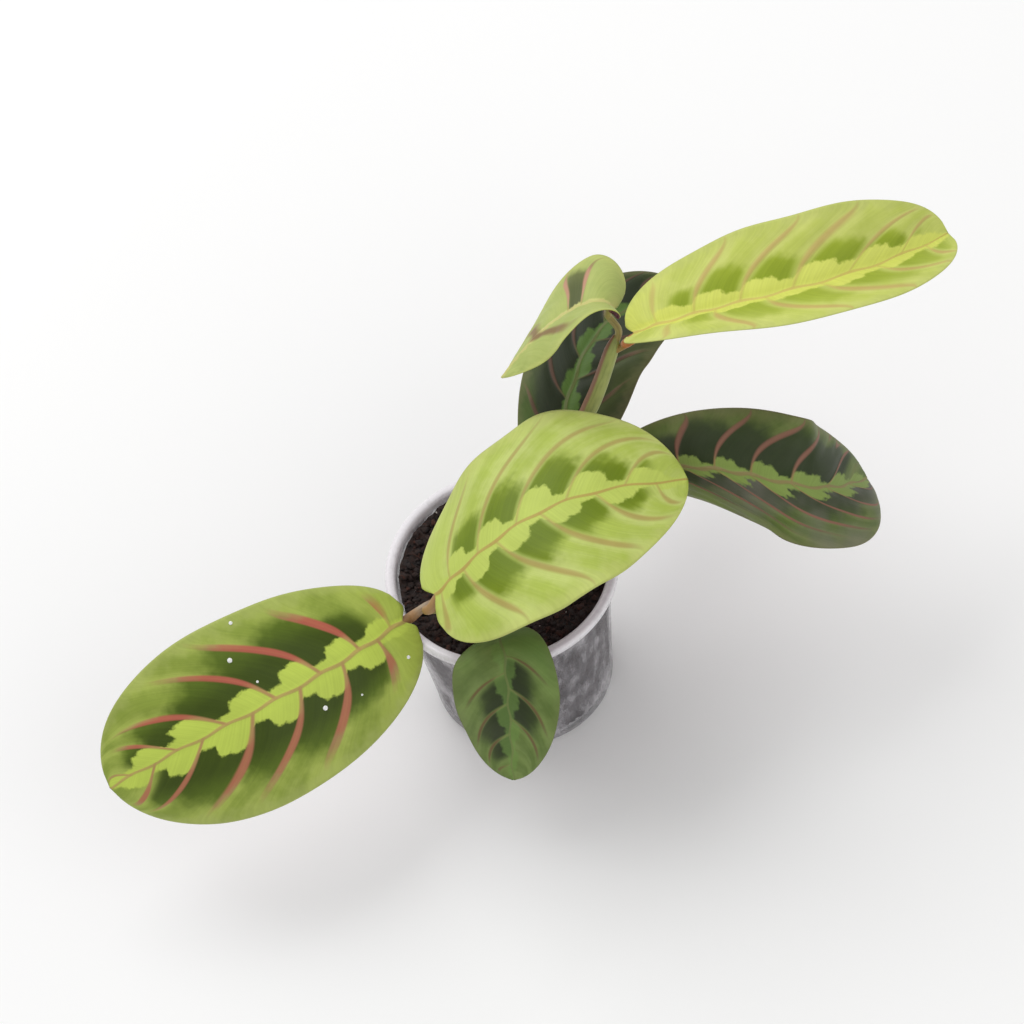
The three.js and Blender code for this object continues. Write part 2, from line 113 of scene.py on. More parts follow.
class Graph:
    """Places shader nodes in a tree and feeds them, with their outputs as plain values."""

    def __init__(self, tree: bpy.types.NodeTree) -> None:
        """Takes the tree that the nodes go into."""
        self.tree = tree

    def feed(self, socket: Socket, value: object) -> None:
        """Links a socket to another node's output, or sets its own value.

        Args:
            socket: the input to feed.
            value: an output socket, a number or a colour.
        """
        if isinstance(value, bpy.types.NodeSocket):
            self.tree.links.new(value, socket)
        else:
            socket.default_value = value

    def place(self, kind: str, inputs: dict | None = None, **settings: object) -> bpy.types.Node:
        """Adds a node.

        Args:
            kind: the node's type.
            inputs: what to feed its inputs, by name or number.
            settings: the node's own settings.

        Returns:
            The new node.
        """
        node = self.tree.nodes.new(kind)
        for name, value in settings.items():
            setattr(node, name, value)
        for name, value in (inputs or {}).items():
            self.feed(node.inputs[name], value)
        return node

    def math(self, operation: str, *values: object) -> Socket:
        """The result of one arithmetic operation on up to three values."""
        return self.place("ShaderNodeMath", dict(enumerate(values)), operation=operation).outputs[0]

    def plus(self, *values: object) -> Socket:
        """The sum of several values."""
        return reduce(partial(self.math, "ADD"), values)

    def minus(self, first: object, second: object) -> Socket:
        """The first value less the second."""
        return self.math("SUBTRACT", first, second)

    def product(self, *values: object) -> Socket:
        """The product of several values."""
        return reduce(partial(self.math, "MULTIPLY"), values)

    def rise(self, value: object, low: object, high: object) -> Socket:
        """A smooth step from 0 at low to 1 at high, or from 1 to 0 where low is the greater."""
        inputs = {"Value": value, "From Min": low, "From Max": high}
        return self.place("ShaderNodeMapRange", inputs, interpolation_type="SMOOTHSTEP").outputs[0]

    def fit(self, value: object, low: object, high: object) -> Socket:
        """A value from 0 to 1 spread evenly from low to high."""
        inputs = {"Value": value, "To Min": low, "To Max": high}
        return self.place("ShaderNodeMapRange", inputs).outputs[0]

    def mix(self, share: object, first: object, second: object, how: str = "MIX") -> Socket:
        """A blend of two colours.

        Args:
            share: how much of the second is in it, 0 to 1.
            first: the first colour.
            second: the second colour.
            how: the way to blend them.

        Returns:
            The blended colour.
        """
        inputs = {0: share, 6: first, 7: second}
        node = self.place("ShaderNodeMix", inputs, data_type="RGBA", blend_type=how)
        return node.outputs[2]

    def layered(self, ground: object, layers: list[tuple[object, object]]) -> Socket:
        """A colour with other colours laid over it in turn.

        Args:
            ground: the colour that lies lowest.
            layers: the others from the lowest up, each as its share and its colour.

        Returns:
            The blended colour.
        """
        tone = ground
        for share, paint in layers:
            tone = self.mix(share, tone, paint)
        return tone

    def shaded(self, tone: Socket, light: Socket) -> Socket:
        """A colour made darker or lighter, as light is under or over 1."""
        return self.mix(1.0, tone, self.vector(light, light, light), "MULTIPLY")

    def bump(self, height: Socket, strength: float, depth: float) -> Socket:
        """The normals of a surface whose height varies, by depth millimetres at most."""
        inputs = {"Height": height, "Strength": strength, "Distance": depth * MM}
        return self.place("ShaderNodeBump", inputs).outputs[0]

    def noise(self, place: Socket, scale: float, detail: float = 2.0, rough: float = 0.5) -> Socket:
        """Soft noise from 0 to 1 at a place."""
        inputs = {"Vector": place, "Scale": scale, "Detail": detail, "Roughness": rough}
        return self.place("ShaderNodeTexNoise", inputs).outputs[0]

    def split(self, vector: Socket) -> tuple[Socket, Socket, Socket]:
        """The three numbers of a vector."""
        node = self.place("ShaderNodeSeparateXYZ", {0: vector})
        return node.outputs[0], node.outputs[1], node.outputs[2]

    def vector(self, x: object, y: object, z: object = 0.0) -> Socket:
        """A vector of three numbers."""
        return self.place("ShaderNodeCombineXYZ", {0: x, 1: y, 2: z}).outputs[0]

    def map(self, name: Enum) -> tuple[Socket, Socket]:
        """The two numbers of a surface coordinate map."""
        u, v, _ = self.split(self.place("ShaderNodeUVMap", uv_map=name.value).outputs[0])
        return u, v

    def millimetres(self) -> Socket:
        """The place on the plant, in millimetres."""
        place = self.place("ShaderNodeTexCoord").outputs["Object"]
        return self.place("ShaderNodeVectorMath", {0: place, "Scale": 1 / MM}, operation="SCALE").outputs[0]

    def effect(self, group: bpy.types.NodeTree, values: dict) -> bpy.types.Node:
        """Adds an effect group and feeds its inputs by name."""
        return self.place("ShaderNodeGroup", values, node_tree=group)


def effect_group(name: str, inputs: dict, outputs: dict) -> tuple[Graph, dict, bpy.types.Node]:
    """Starts a node group with named sockets.

    Args:
        name: the group's name.
        inputs: each input's name with its usual number, or its usual colour.
        outputs: each output's name with its kind of socket.

    Returns:
        The group's graph, its input sockets by name, and the node that its results go to.
    """
    tree = bpy.data.node_groups.new(name, "ShaderNodeTree")
    for key, value in inputs.items():
        kind = "NodeSocketFloat" if isinstance(value, (int, float)) else "NodeSocketColor"
        socket = tree.interface.new_socket(name=key, in_out="INPUT", socket_type=kind)
        socket.default_value = value
    for key, kind in outputs.items():
        tree.interface.new_socket(name=key, in_out="OUTPUT", socket_type=kind)
    graph = Graph(tree)
    source = graph.place("NodeGroupInput")
    return graph, {key: source.outputs[key] for key in inputs}, graph.place("NodeGroupOutput")


class LeafEffect:
    """The pattern of a leaf's upper side: pale centre, dark patches, veins, streaks, rim and painted sheen.

    Along the leaf, places are counted in side veins. Across it they are shares of the way from the
    midrib to the edge, and what keeps its size on every leaf is in millimetres.
    """

    # How fine the noises are, in bumps for each millimetre.
    DRIFT_RATE = 0.3
    JITTER_RATE = 1.1
    MOTTLE_RATE = 0.16
    # the clouds of painted sheen, a dull grey laid over the green:
    BLOOM_RATE = 0.09
    BLOTCH_RATE = 0.11
    PORE_RATE = 5.0
    # How fine the streaks are: from vein to vein, from midrib to edge, and from half to half.
    STREAK_RATES = (5.0, 1.2, 9.0)
    VEINLET_RATES = (24.0, 1.6, 5.0)

    def __init__(self) -> None:
        """Starts the group, and finds where each point lies and how far its patch reaches."""
        outputs = {"Color": "NodeSocketColor", "Height": "NodeSocketFloat", "Shine": "NodeSocketFloat"}
        self.graph, self.given, self.result = effect_group("leaf_pattern", LeafPattern().inputs(), outputs)
        graph, given = self.graph, self.given

        side, self.turns = graph.map(LeafMap.VEINS)
        self.across, self.spacing = graph.map(LeafMap.SIZES)
        self.place = graph.millimetres()
        self.reach = graph.math("ABSOLUTE", side)
        self.right = graph.math("GREATER_THAN", side, 0.0)
        self.line = graph.minus(self.turns, graph.product(self.right, given["stagger"]))
        self.share = graph.math("DIVIDE", self.line, given["veins"])
        self.panel = graph.math("FRACT", self.turns)
        past_middle = graph.math("FRACT", graph.plus(self.turns, 0.5))
        self.nearest = graph.math("ABSOLUTE", graph.minus(past_middle, 0.5))
        self.from_vein = graph.product(self.nearest, self.spacing)
        self.breadth = graph.math("DIVIDE", self.across, graph.math("MAXIMUM", self.reach, 0.02))

        number = graph.vector(graph.math("FLOOR", self.turns), self.right, given["veins"])
        self.chance = graph.place("ShaderNodeTexWhiteNoise", {"Vector": number}).outputs["Value"]
        self.drift = graph.minus(graph.noise(self.place, self.DRIFT_RATE), 0.5)
        self.jitter = graph.minus(graph.noise(self.place, self.JITTER_RATE), 0.5)
        self.streak = graph.noise(self._along_veins(self.STREAK_RATES), 1.0, 3.0, 0.6)
        self.veinlet = graph.noise(self._along_veins(self.VEINLET_RATES), 1.0)

        self.first, self.last = self._by_half("first"), self._by_half("last")
        shrinking = graph.product(graph.math("POWER", self.share, 2.0), self._by_half("taper"))
        opening = graph.fit(graph.rise(self.turns, self.first, graph.plus(self.first, 1.1)), 0.76, 1.0)
        patch_end = graph.minus(self._by_half("reach"), shrinking)
        patch_end = graph.product(patch_end, opening, graph.fit(self.chance, 0.93, 1.07))
        self.patch_end = graph.plus(patch_end, graph.product(self.drift, 0.14))
        self.vein_end = graph.plus(self.patch_end, given["vein tail"])

    def _along_veins(self, rates: Point) -> Socket:
        """A place for noise that runs along the side veins, at its rate in each direction."""
        ways = zip((self.turns, self.reach, self.right), rates)
        return self.graph.vector(*(self.graph.product(way, rate) for way, rate in ways))

    def _by_half(self, name: str) -> Socket:
        """The left half's own value on the left half, and the right half's on the right."""
        return self.graph.fit(self.right, self.given[f"left {name}"], self.given[f"right {name}"])

    def build(self) -> bpy.types.NodeTree:
        """Builds the rest of the group.

        Returns:
            The group, with the outputs Color, Height and Shine.
        """
        graph = self.graph
        patch, heart = self._patches()
        vein, midrib = self._veins(), self._midrib()
        pores = graph.noise(self.place, self.PORE_RATE)
        ridges = graph.product(graph.math("MAXIMUM", vein, midrib), 0.5)
        height = graph.plus(graph.product(self.veinlet, 0.3), graph.product(pores, 0.1), ridges)
        shine = graph.product(graph.fit(pores, 0.9, 1.15), graph.fit(patch, 1.0, 0.94))
        graph.feed(self.result.inputs["Color"], self._tone(patch, heart, vein, midrib))
        graph.feed(self.result.inputs["Height"], height)
        graph.feed(self.result.inputs["Shine"], shine)
        return graph.tree

    def _centre(self) -> Socket:
        """The pale centre: a lobe in each panel, with a waist shortly before the next vein.

        Returns:
            1 inside the centre and 0 outside it.
        """
        graph, given = self.graph, self.given
        wobble = graph.plus(self.panel, graph.product(self.drift, 0.16))
        waist = graph.product(graph.rise(wobble, 0.3, 0.86), graph.rise(wobble, 1.05, 0.93))
        narrowing = graph.product(waist, graph.minus(given["notch"], given["centre"]))
        scallop = graph.math("ABSOLUTE", graph.math("SINE", graph.product(wobble, 3 * math.pi)))
        lobe = graph.plus(given["centre"], narrowing, graph.product(scallop, given["tooth"]))
        taper = graph.minus(1.0, graph.product(graph.math("POWER", self.share, 2.0), given["tip taper"]))
        lobe = graph.product(lobe, taper, graph.fit(self.chance, 0.88, 1.15), self.breadth)
        lobe = graph.plus(lobe, graph.product(self.jitter, 1.2))
        return graph.rise(graph.minus(self.across, lobe), 0.42, -0.42)

    def _patches(self) -> tuple[Socket, Socket]:
        """The dark patches: one in each panel between the first and the last of its half.

        Returns:
            How strong the patches are, and how strong their darker hearts are.
        """
        graph, given = self.graph, self.given
        window = graph.product(
            graph.rise(self.turns, graph.minus(self.first, 0.12), graph.plus(self.first, 0.2)),
            graph.rise(self.turns, graph.plus(self.last, 0.15), graph.minus(self.last, 0.25)),
        )
        slant = graph.product(graph.minus(self.panel, 0.3), given["patch slant"])
        slanted = graph.minus(self.patch_end, slant)
        ragged = graph.plus(slanted, graph.product(graph.minus(self.streak, 0.5), 0.12))
        fade = graph.rise(self.reach, graph.plus(ragged, given["patch feather"]), graph.minus(ragged, 0.05))
        border = given["patch border"]
        beside = graph.fit(graph.rise(self.from_vein, graph.product(border, 0.3), border), 0.3, 1.0)
        patch = graph.product(fade, window, self._by_half("depth"), beside)
        inner = graph.rise(self.reach, graph.plus(self.patch_end, 0.05), graph.product(self.patch_end, 0.5))
        return patch, graph.product(patch, inner, graph.fit(self.streak, 0.75, 1.1))

    def _veins(self) -> Socket:
        """The side veins: fine in the centre, broad beyond it, fading past the patches.

        Returns:
            1 on a vein and 0 beside it.
        """
        graph, given = self.graph, self.given
        swelling = graph.fit(graph.rise(self.reach, 0.1, 0.5), 0.4, 1.0)
        thinning = graph.fit(graph.rise(self.reach, 0.7, 0.98), 1.0, 0.3)
        widest = graph.math("MINIMUM", given["vein width"], graph.product(self.spacing, 0.2))
        half_width = graph.product(widest, 0.5, swelling, thinning)
        edge = given["vein edge"]
        vein = graph.rise(self.from_vein, graph.plus(half_width, edge), graph.minus(half_width, edge))
        present = graph.product(
            graph.rise(self.turns, graph.minus(self.first, 0.65), graph.minus(self.first, 0.25)),
            graph.rise(self.line, 0.05, 0.4),
            graph.rise(self.turns, graph.plus(self.last, 0.6), graph.plus(self.last, 0.15)),
        )
        ending = graph.rise(self.reach, graph.plus(self.vein_end, 0.16), graph.minus(self.vein_end, 0.12))
        return graph.product(vein, present, ending)

    def _midrib(self) -> Socket:
        """The midrib, which swings a little from one side vein to the next.

        Returns:
            1 on the midrib and 0 beside it.
        """
        graph, given = self.graph, self.given
        sway = graph.product(graph.math("COSINE", graph.product(self.line, 2 * math.pi)), given["zigzag"])
        signed = graph.product(self.across, graph.minus(graph.product(self.right, 2.0), 1.0))
        from_midrib = graph.math("ABSOLUTE", graph.plus(signed, sway))
        half_width = graph.product(given["midrib width"], 0.5, graph.fit(self.share, 1.0, 0.5))
        return graph.rise(from_midrib, graph.plus(half_width, 0.25), graph.minus(half_width, 0.15))

    def _ground(self) -> Socket:
        """The green under the pattern: mottled, lighter by the veins and the edge, pale at the base.

        Returns:
            The colour.
        """
        graph, given = self.graph, self.given
        ribbing = graph.fit(graph.rise(self.nearest, 0.42, 0.08), -0.24, 0.24)
        mottle = graph.plus(
            graph.product(self.streak, 0.25),
            graph.product(graph.noise(self.place, self.MOTTLE_RATE, 4.0, 0.6), 0.45),
            graph.product(ribbing, given["banding"]),
            0.15,
        )
        green = graph.mix(graph.rise(mottle, 0.36, 0.64), given["margin"], given["streak"])
        outermost = graph.rise(graph.plus(self.reach, graph.product(self.drift, 0.3)), 0.78, 0.98)
        layers = [
            (graph.product(graph.rise(self.turns, 1.5, 0.2), 0.85), given["pale centre"]),
            (graph.product(outermost, given["edge light"]), given["rim"]),
        ]
        return graph.layered(green, layers)

    def _bloom(self) -> Socket:
        """How thick the painted sheen lies: a dull grey in clouds, mostly on the right half, standing in for
        the satin sheen there.
        """
        clouds = self.graph.rise(self.graph.noise(self.place, self.BLOOM_RATE), 0.3, 0.7)
        return self.graph.product(self.given["bloom depth"], self.graph.fit(self.right, 0.12, 1.0), clouds)

    def _stripe(self) -> Socket:
        """The brown band across a young leaf.

        Returns:
            How strong the band is.
        """
        graph, given = self.graph, self.given
        wandering = graph.plus(self.turns, graph.product(self.drift, 0.6))
        from_stripe = graph.math("ABSOLUTE", graph.minus(wandering, given["stripe"]))
        inside = graph.rise(self.reach, 0.9, 0.5)
        return graph.product(graph.rise(from_stripe, 0.75, 0.15), inside, given["stripe depth"])

    def _vein_tone(self) -> Socket:
        """The side veins' colour: brown in the centre, red beyond it and paler where they end.

        Returns:
            The colour.
        """
        graph, given = self.graph, self.given
        root = graph.product(given["centre"], self.breadth)
        reddening = graph.rise(self.across, graph.product(root, 0.7), graph.plus(root, 1.6))
        inner = graph.mix(reddening, given["vein root"], given["vein"])
        faded = graph.rise(self.reach, graph.minus(self.vein_end, 0.2), self.vein_end)
        faded = graph.plus(faded, graph.product(graph.minus(1.0, self.right), given["left fading"]))
        return graph.mix(graph.math("MINIMUM", faded, 1.0), inner, given["vein end"])

    def _tone(self, patch: Socket, heart: Socket, vein: Socket, midrib: Socket) -> Socket:
        """The leaf's colour, laid on in layers from the ground up.

        Args:
            patch: how strong the dark patches are.
            heart: how strong their hearts are.
            vein: where the side veins are.
            midrib: where the midrib is.

        Returns:
            The colour.
        """
        graph, given = self.graph, self.given
        flat = [
            (patch, given["patch"]),
            (heart, given["heart"]),
            # painted sheen: a dull grey in clouds, mostly on the right half
            (self._bloom(), given["bloom"]),
            (graph.product(self._centre(), given["centre depth"]), given["pale centre"]),
        ]
        drawn = [
            (graph.product(vein, given["vein strength"]), self._vein_tone()),
            (graph.product(midrib, 0.85), given["midrib"]),
            (self._stripe(), given["vein end"]),
        ]
        veinlets = graph.fit(graph.rise(self.veinlet, 0.3, 0.7), 0.955, 1.04)
        blotches = graph.fit(graph.noise(self.place, self.BLOTCH_RATE, 3.0), 0.88, 1.1)
        tone = graph.shaded(graph.layered(self._ground(), flat), veinlets)
        tone = graph.shaded(graph.layered(tone, drawn), blotches)
        return graph.mix(graph.product(graph.rise(self.reach, 0.978, 0.995), 0.8), tone, given["rim"])


class Effects:
    """The effects that several materials share, each built once."""

    def __init__(self) -> None:
        """Builds every effect."""
        self.leaf = LeafEffect().build()
        self.grain = self._grain()

    @staticmethod
    def _grain() -> bpy.types.NodeTree:
        """Fine unevenness of a surface: a mottle, and a height for its bumps.

        Returns:
            A group with the outputs Mottle, Height and Bare, the last for worn or pale spots.
        """
        inputs = {"Size": 1.0, "Stretch": 1.0, "Sharpness": 0.5}
        outputs = {"Mottle": "NodeSocketFloat", "Height": "NodeSocketFloat", "Bare": "NodeSocketFloat"}
        graph, given, result = effect_group("grain", inputs, outputs)
        x, y, z = graph.split(graph.millimetres())
        rate = graph.math("DIVIDE", 1.0, given["Size"])
        along = graph.math("DIVIDE", rate, given["Stretch"])
        place = graph.vector(graph.product(x, rate), graph.product(y, rate), graph.product(z, along))
        coarse = graph.noise(place, 0.5, 3.0, 0.6)
        fine = graph.noise(place, 2.7, 4.0, 0.65)
        low = graph.plus(0.5, graph.product(given["Sharpness"], 0.4))
        graph.feed(result.inputs["Mottle"], graph.rise(coarse, 0.3, 0.7))
        graph.feed(result.inputs["Height"], fine)
        graph.feed(result.inputs["Bare"], graph.rise(fine, low, graph.plus(low, 0.1)))
        return graph.tree


@dataclass(frozen=True)
class LeafPattern:
    """The numbers and colours of the pattern on a leaf's upper side.

    Widths are in millimetres, the centre and reaches are shares of the way from the midrib to the
    edge, and places of patches are counted in veins. Left and right are seen from the base.
    """

    veins: float = 7.0
    stagger: float = 0.5  # how much nearer to the base the right half's veins lie
    centre: float = 0.25
    notch: float = 0.09  # half width of the pale centre at its waists
    tooth: float = 0.035  # depth of its small scallops
    tip_taper: float = 0.2
    left_first: float = 1.0
    left_last: float = 5.85
    left_reach: float = 0.64
    left_taper: float = 0.1
    left_depth: float = 1.0
    right_first: float = 1.45
    right_last: float = 6.75
    right_reach: float = 0.8
    right_taper: float = 0.7
    right_depth: float = 1.0
    patch_feather: float = 0.14
    patch_border: float = 0.3  # width of the lighter strip between a patch and a vein
    patch_slant: float = 0.2
    vein_width: float = 2.1
    vein_edge: float = 0.28
    vein_strength: float = 0.92
    vein_tail: float = 0.12  # how far the veins run past the patches
    left_fading: float = 0.4
    midrib_width: float = 1.0
    zigzag: float = 0.3
    banding: float = 0.3  # how much lighter the green is beside the veins
    edge_light: float = 0.5
    centre_depth: float = 1.0
    # how thick the painted sheen lies, a dull grey in clouds
    bloom_depth: float = 0.0
    stripe: float = 0.0
    stripe_depth: float = 0.0
    margin: Colour = colour("85963b")
    streak: Colour = colour("a3b153")
    rim: Colour = colour("a9b365")
    patch: Colour = colour("586c1a")
    heart: Colour = colour("384709")
    pale_centre: Colour = colour("b8ca54")
    vein_root: Colour = colour("ad8458")
    vein: Colour = colour("b35d4d")
    vein_end: Colour = colour("a8805a")
    midrib: Colour = colour("b0955a")
    # the colour of the painted sheen
    bloom: Colour = colour("8b929a")

    def inputs(self) -> dict[str, object]:
        """The numbers and colours by the names of the effect's inputs."""
        return {item.name.replace("_", " "): getattr(self, item.name) for item in fields(self)}


@dataclass(frozen=True)
class LeafFinish:
    """The satin upper side of a leaf."""

    pattern: LeafPattern
    roughness: float = 0.5
    gloss: float = 0.22
    relief: float = 0.5
    relief_depth: float = 0.25

    def material(self, name: str, effects: Effects) -> bpy.types.Material:
        """Makes the material.

        Args:
            name: the material's name.
            effects: the shared effects.

        Returns:
            The new material.
        """
        material, graph, shader = new_material(name)
        look = graph.effect(effects.leaf, self.pattern.inputs())
        normals = graph.bump(look.outputs["Height"], self.relief, self.relief_depth)
        graph.feed(shader.inputs["Base Color"], look.outputs["Color"])
        graph.feed(shader.inputs["Roughness"], graph.product(look.outputs["Shine"], self.roughness))
        graph.feed(shader.inputs["Normal"], normals)
        shader.inputs["Specular IOR Level"].default_value = self.gloss
        return material


@dataclass(frozen=True)
class UndersideFinish:
    """The duller, burgundy lower side of a leaf, with its veins drawn in brown."""

    ground: Colour = colour("7c3f4a")
    shade: Colour = colour("5d2c39")
    vein: Colour = colour("8f6a4c")
    vein_width: float = 0.9
    roughness: float = 0.6
    relief: float = 0.7

    def material(self, name: str, effects: Effects) -> bpy.types.Material:
        """Makes the material.

        Args:
            name: the material's name.
            effects: the shared effects.

        Returns:
            The new material.
        """
        plain = {"margin": self.ground, "streak": self.shade, "rim": self.ground, "patch": self.shade}
        plain |= {"heart": self.shade, "pale_centre": self.ground, "vein_root": self.vein}
        plain |= {"vein": self.vein, "vein_end": self.ground, "midrib": self.vein}
        pattern = LeafPattern(**plain, vein_width=self.vein_width)
        return LeafFinish(pattern, self.roughness, relief=self.relief).material(name, effects)


@dataclass(frozen=True)
class StalkFinish:
    """A satin stalk: streaked along its length, with a joint of its own colour below the blade."""

    ground: Colour = colour("8f8a4a")
    streak: Colour = colour("7a6540")
    edge: Colour = colour("8d6444")
    joint: Colour = colour("a07c4e")
    joint_start: float = 1000.0  # distance along the stalk in millimetres; past the end there is no joint
    joint_blend: float = 1.5
    edge_width: float = -1.0  # share of the way round; a plain stalk has no edge
    streak_rate: float = 3.5
    streak_climb: float = 0.05  # the smaller, the longer the streaks
    roughness: Pair = (0.42, 0.58)

    def material(self, name: str) -> bpy.types.Material:
        """Makes the material.

        Args:
            name: the material's name.

        Returns:
            The new material.
        """
        material, graph, shader = new_material(name)
        turn, along = graph.map(StalkMap.ROUND)
        angle = graph.product(turn, 2 * math.pi)
        climb = graph.product(along, self.streak_climb)
        around = graph.vector(graph.math("COSINE", angle), graph.math("SINE", angle), climb)
        streaks = graph.noise(around, self.streak_rate, 3.0, 0.6)
        blotches = graph.noise(graph.millimetres(), 0.35)
        beside = graph.math("MINIMUM", turn, graph.minus(1.0, turn))
        joint_end = self.joint_start + self.joint_blend
        layers = [
            (graph.rise(streaks, 0.4, 0.75), self.streak),
            (graph.product(graph.rise(blotches, 0.45, 0.7), 0.35), self.streak),
            (graph.rise(beside, self.edge_width + 0.04, self.edge_width - 0.02), self.edge),
            (graph.rise(along, self.joint_start - self.joint_blend, joint_end), self.joint),
        ]
        graph.feed(shader.inputs["Base Color"], graph.layered(self.ground, layers))
        graph.feed(shader.inputs["Roughness"], graph.fit(streaks, *self.roughness))
        graph.feed(shader.inputs["Normal"], graph.bump(streaks, 0.4, 0.15))
        return material


@dataclass(frozen=True)
class PlasticFinish:
    """Thin clear plastic, clouded and smeared, and whiter and denser at its rim."""

    tint: Colour = colour("918e92")
    smear: Colour = colour("d9d6da")
    rim: Colour = colour("eeebee")
    clearest: float = 0.06
    cloudiest: float = 0.34
    smear_density: float = 0.1
    speck_density: float = 0.04
    splashed: Pair = (36.0, 47.0)  # heights between which the wall gets dirtier
    splash_density: float = 0.3
    rim_start: float = 46.6
    rim_blend: float = 1.4
    rim_density: float = 0.55
    slanting_density: float = 0.22  # added where the wall is seen edge on
    densest: float = 0.92
    smeared: Pair = (0.3, 0.62)  # densities between which the tint turns to that of the smears
    roughness: Pair = (0.16, 0.4)

    def material(self, name: str, effects: Effects) -> bpy.types.Material:
        """Makes the material.

        Args:
            name: the material's name.
            effects: the shared effects.

        Returns:
            The new material.
        """
        material, graph, shader = new_material(name)
        _, _, height = graph.split(graph.millimetres())
        cloud = graph.effect(effects.grain, {"Size": 4.5, "Stretch": 1.7, "Sharpness": 0.1}).outputs
        smears = graph.effect(effects.grain, {"Size": 1.6, "Stretch": 3.0, "Sharpness": 0.15}).outputs
        rim = graph.rise(height, self.rim_start, self.rim_start + self.rim_blend)
        facing = graph.place("ShaderNodeLayerWeight", {"Blend": 0.35}).outputs["Facing"]
        density = graph.plus(
            graph.fit(cloud["Mottle"], self.clearest, self.cloudiest),
            graph.product(smears["Mottle"], self.smear_density),
            graph.product(cloud["Bare"], self.speck_density),
            graph.product(graph.rise(height, *self.splashed), cloud["Mottle"], self.splash_density),
            graph.product(rim, self.rim_density),
            graph.product(facing, self.slanting_density),
        )
        density = graph.math("MINIMUM", density, self.densest)
        tone = graph.mix(graph.rise(density, *self.smeared), self.tint, self.smear)
        graph.feed(shader.inputs["Base Color"], graph.mix(rim, tone, self.rim))
        graph.feed(shader.inputs["Alpha"], density)
        graph.feed(shader.inputs["Roughness"], graph.fit(cloud["Height"], *self.roughness))
        graph.feed(shader.inputs["Normal"], graph.bump(cloud["Height"], 0.25, 0.2))
        return material


@dataclass(frozen=True)
class PeatFinish:
    """Moist dark peat, with reddish and greyish grains."""

    dark: Colour = colour("19110f")
    light: Colour = colour("3a2822")
    grain: Colour = colour("654a40")
    grain_share: float = 0.6
    roughness: Pair = (0.7, 0.95)

    def material(self, name: str, effects: Effects) -> bpy.types.Material:
        """Makes the material.

        Args:
            name: the material's name.
            effects: the shared effects.

        Returns:
            The new material.
        """
        material, graph, shader = new_material(name)
        grit = graph.effect(effects.grain, {"Size": 0.8, "Stretch": 1.0, "Sharpness": 0.3}).outputs
        layers = [(grit["Mottle"], self.light), (graph.product(grit["Bare"], self.grain_share), self.grain)]
        graph.feed(shader.inputs["Base Color"], graph.layered(self.dark, layers))
        graph.feed(shader.inputs["Roughness"], graph.fit(grit["Mottle"], *self.roughness))
        graph.feed(shader.inputs["Normal"], graph.bump(grit["Height"], 0.9, 0.5))
        return material


@dataclass(frozen=True)
class WaterFinish:
    """A drop of water, only partly clear, with its glint painted in white."""

    # white, so that the part of the drop that is not clear shows as a painted glint
    tint: Colour = (1.0, 1.0, 1.0, 1.0)
    clearness: float = 0.3
    bending: float = 1.33  # how strongly it bends light
    roughness: Pair = (0.0, 0.04)

    def material(self, name: str) -> bpy.types.Material:
        """Makes the material.

        Args:
            name: the material's name.

        Returns:
            The new material.
        """
        material, graph, shader = new_material(name)
        ripple = graph.noise(graph.millimetres(), 1.5, 1.0)
        shader.inputs["Base Color"].default_value = self.tint
        shader.inputs["Transmission Weight"].default_value = self.clearness
        shader.inputs["IOR"].default_value = self.bending
        graph.feed(shader.inputs["Roughness"], graph.fit(ripple, *self.roughness))
        return material


def new_material(name: str) -> tuple[bpy.types.Material, Graph, bpy.types.Node]:
    """Starts a material.

    Args:
        name: the material's name.

    Returns:
        The material, its graph and its Principled shader.
    """
    material = bpy.data.materials.new(name)
    material.use_nodes = True
    return material, Graph(material.node_tree), material.node_tree.nodes["Principled BSDF"]


# ---------------------------------------------------------------- meshes


def new_object(name: str, data: bpy.types.ID) -> bpy.types.Object:
    """Makes an object and puts it into the scene.

    Args:
        name: its name.
        data: its mesh, light or camera.

    Returns:
        The new object.
    """
    made = bpy.data.objects.new(name, data)
    bpy.context.scene.collection.objects.link(made)
    return made


@dataclass
class Draft:
    """The points and faces of one piece as they are gathered, in millimetres."""

    points: list[Array] = field(default_factory=list)
    faces: list[list[int]] = field(default_factory=list)
    finishes: list[int] = field(default_factory=list)
    maps: dict[str, list[Array]] = field(default_factory=dict)
    count: int = 0

    def add(self, points: Array, faces: Array | list, finish: int = 0, **maps: Array) -> None:
        """Adds a patch of surface.

        Args:
            points: its points, one a row.
            faces: its faces, as numbers of those points.
            finish: the number of the material that it takes.
            maps: its surface coordinates, two numbers for each corner of each face in turn.
        """
        self.points.append(np.asarray(points, float).reshape(-1, 3))
        shifted = [[int(i) + self.count for i in face] for face in faces]
        self.faces.extend(shifted)
        self.finishes.extend([finish] * len(shifted))
        for name, values in maps.items():
            self.maps.setdefault(name, []).append(np.asarray(values, float).reshape(-1, 2))
        self.count += len(self.points[-1])

    def build(self, name: str, materials: list[bpy.types.Material]) -> bpy.types.Object:
        """Makes the piece.

        Args:
            name: the piece's name.
            materials: its materials, in the order of their numbers.

        Returns:
            The new object, with its origin at the plant's.
        """
        mesh = bpy.data.meshes.new(name)
        mesh.from_pydata((np.concatenate(self.points) * MM).tolist(), [], self.faces)
        for material in materials:
            mesh.materials.append(material)
        mesh.polygons.foreach_set("material_index", self.finishes)
        mesh.polygons.foreach_set("use_smooth", [True] * len(self.faces))
        for key, values in self.maps.items():
            layer = mesh.uv_layers.new(name=key)
            layer.data.foreach_set("uv", np.concatenate(values).ravel())
        mesh.update()
        return new_object(name, mesh)


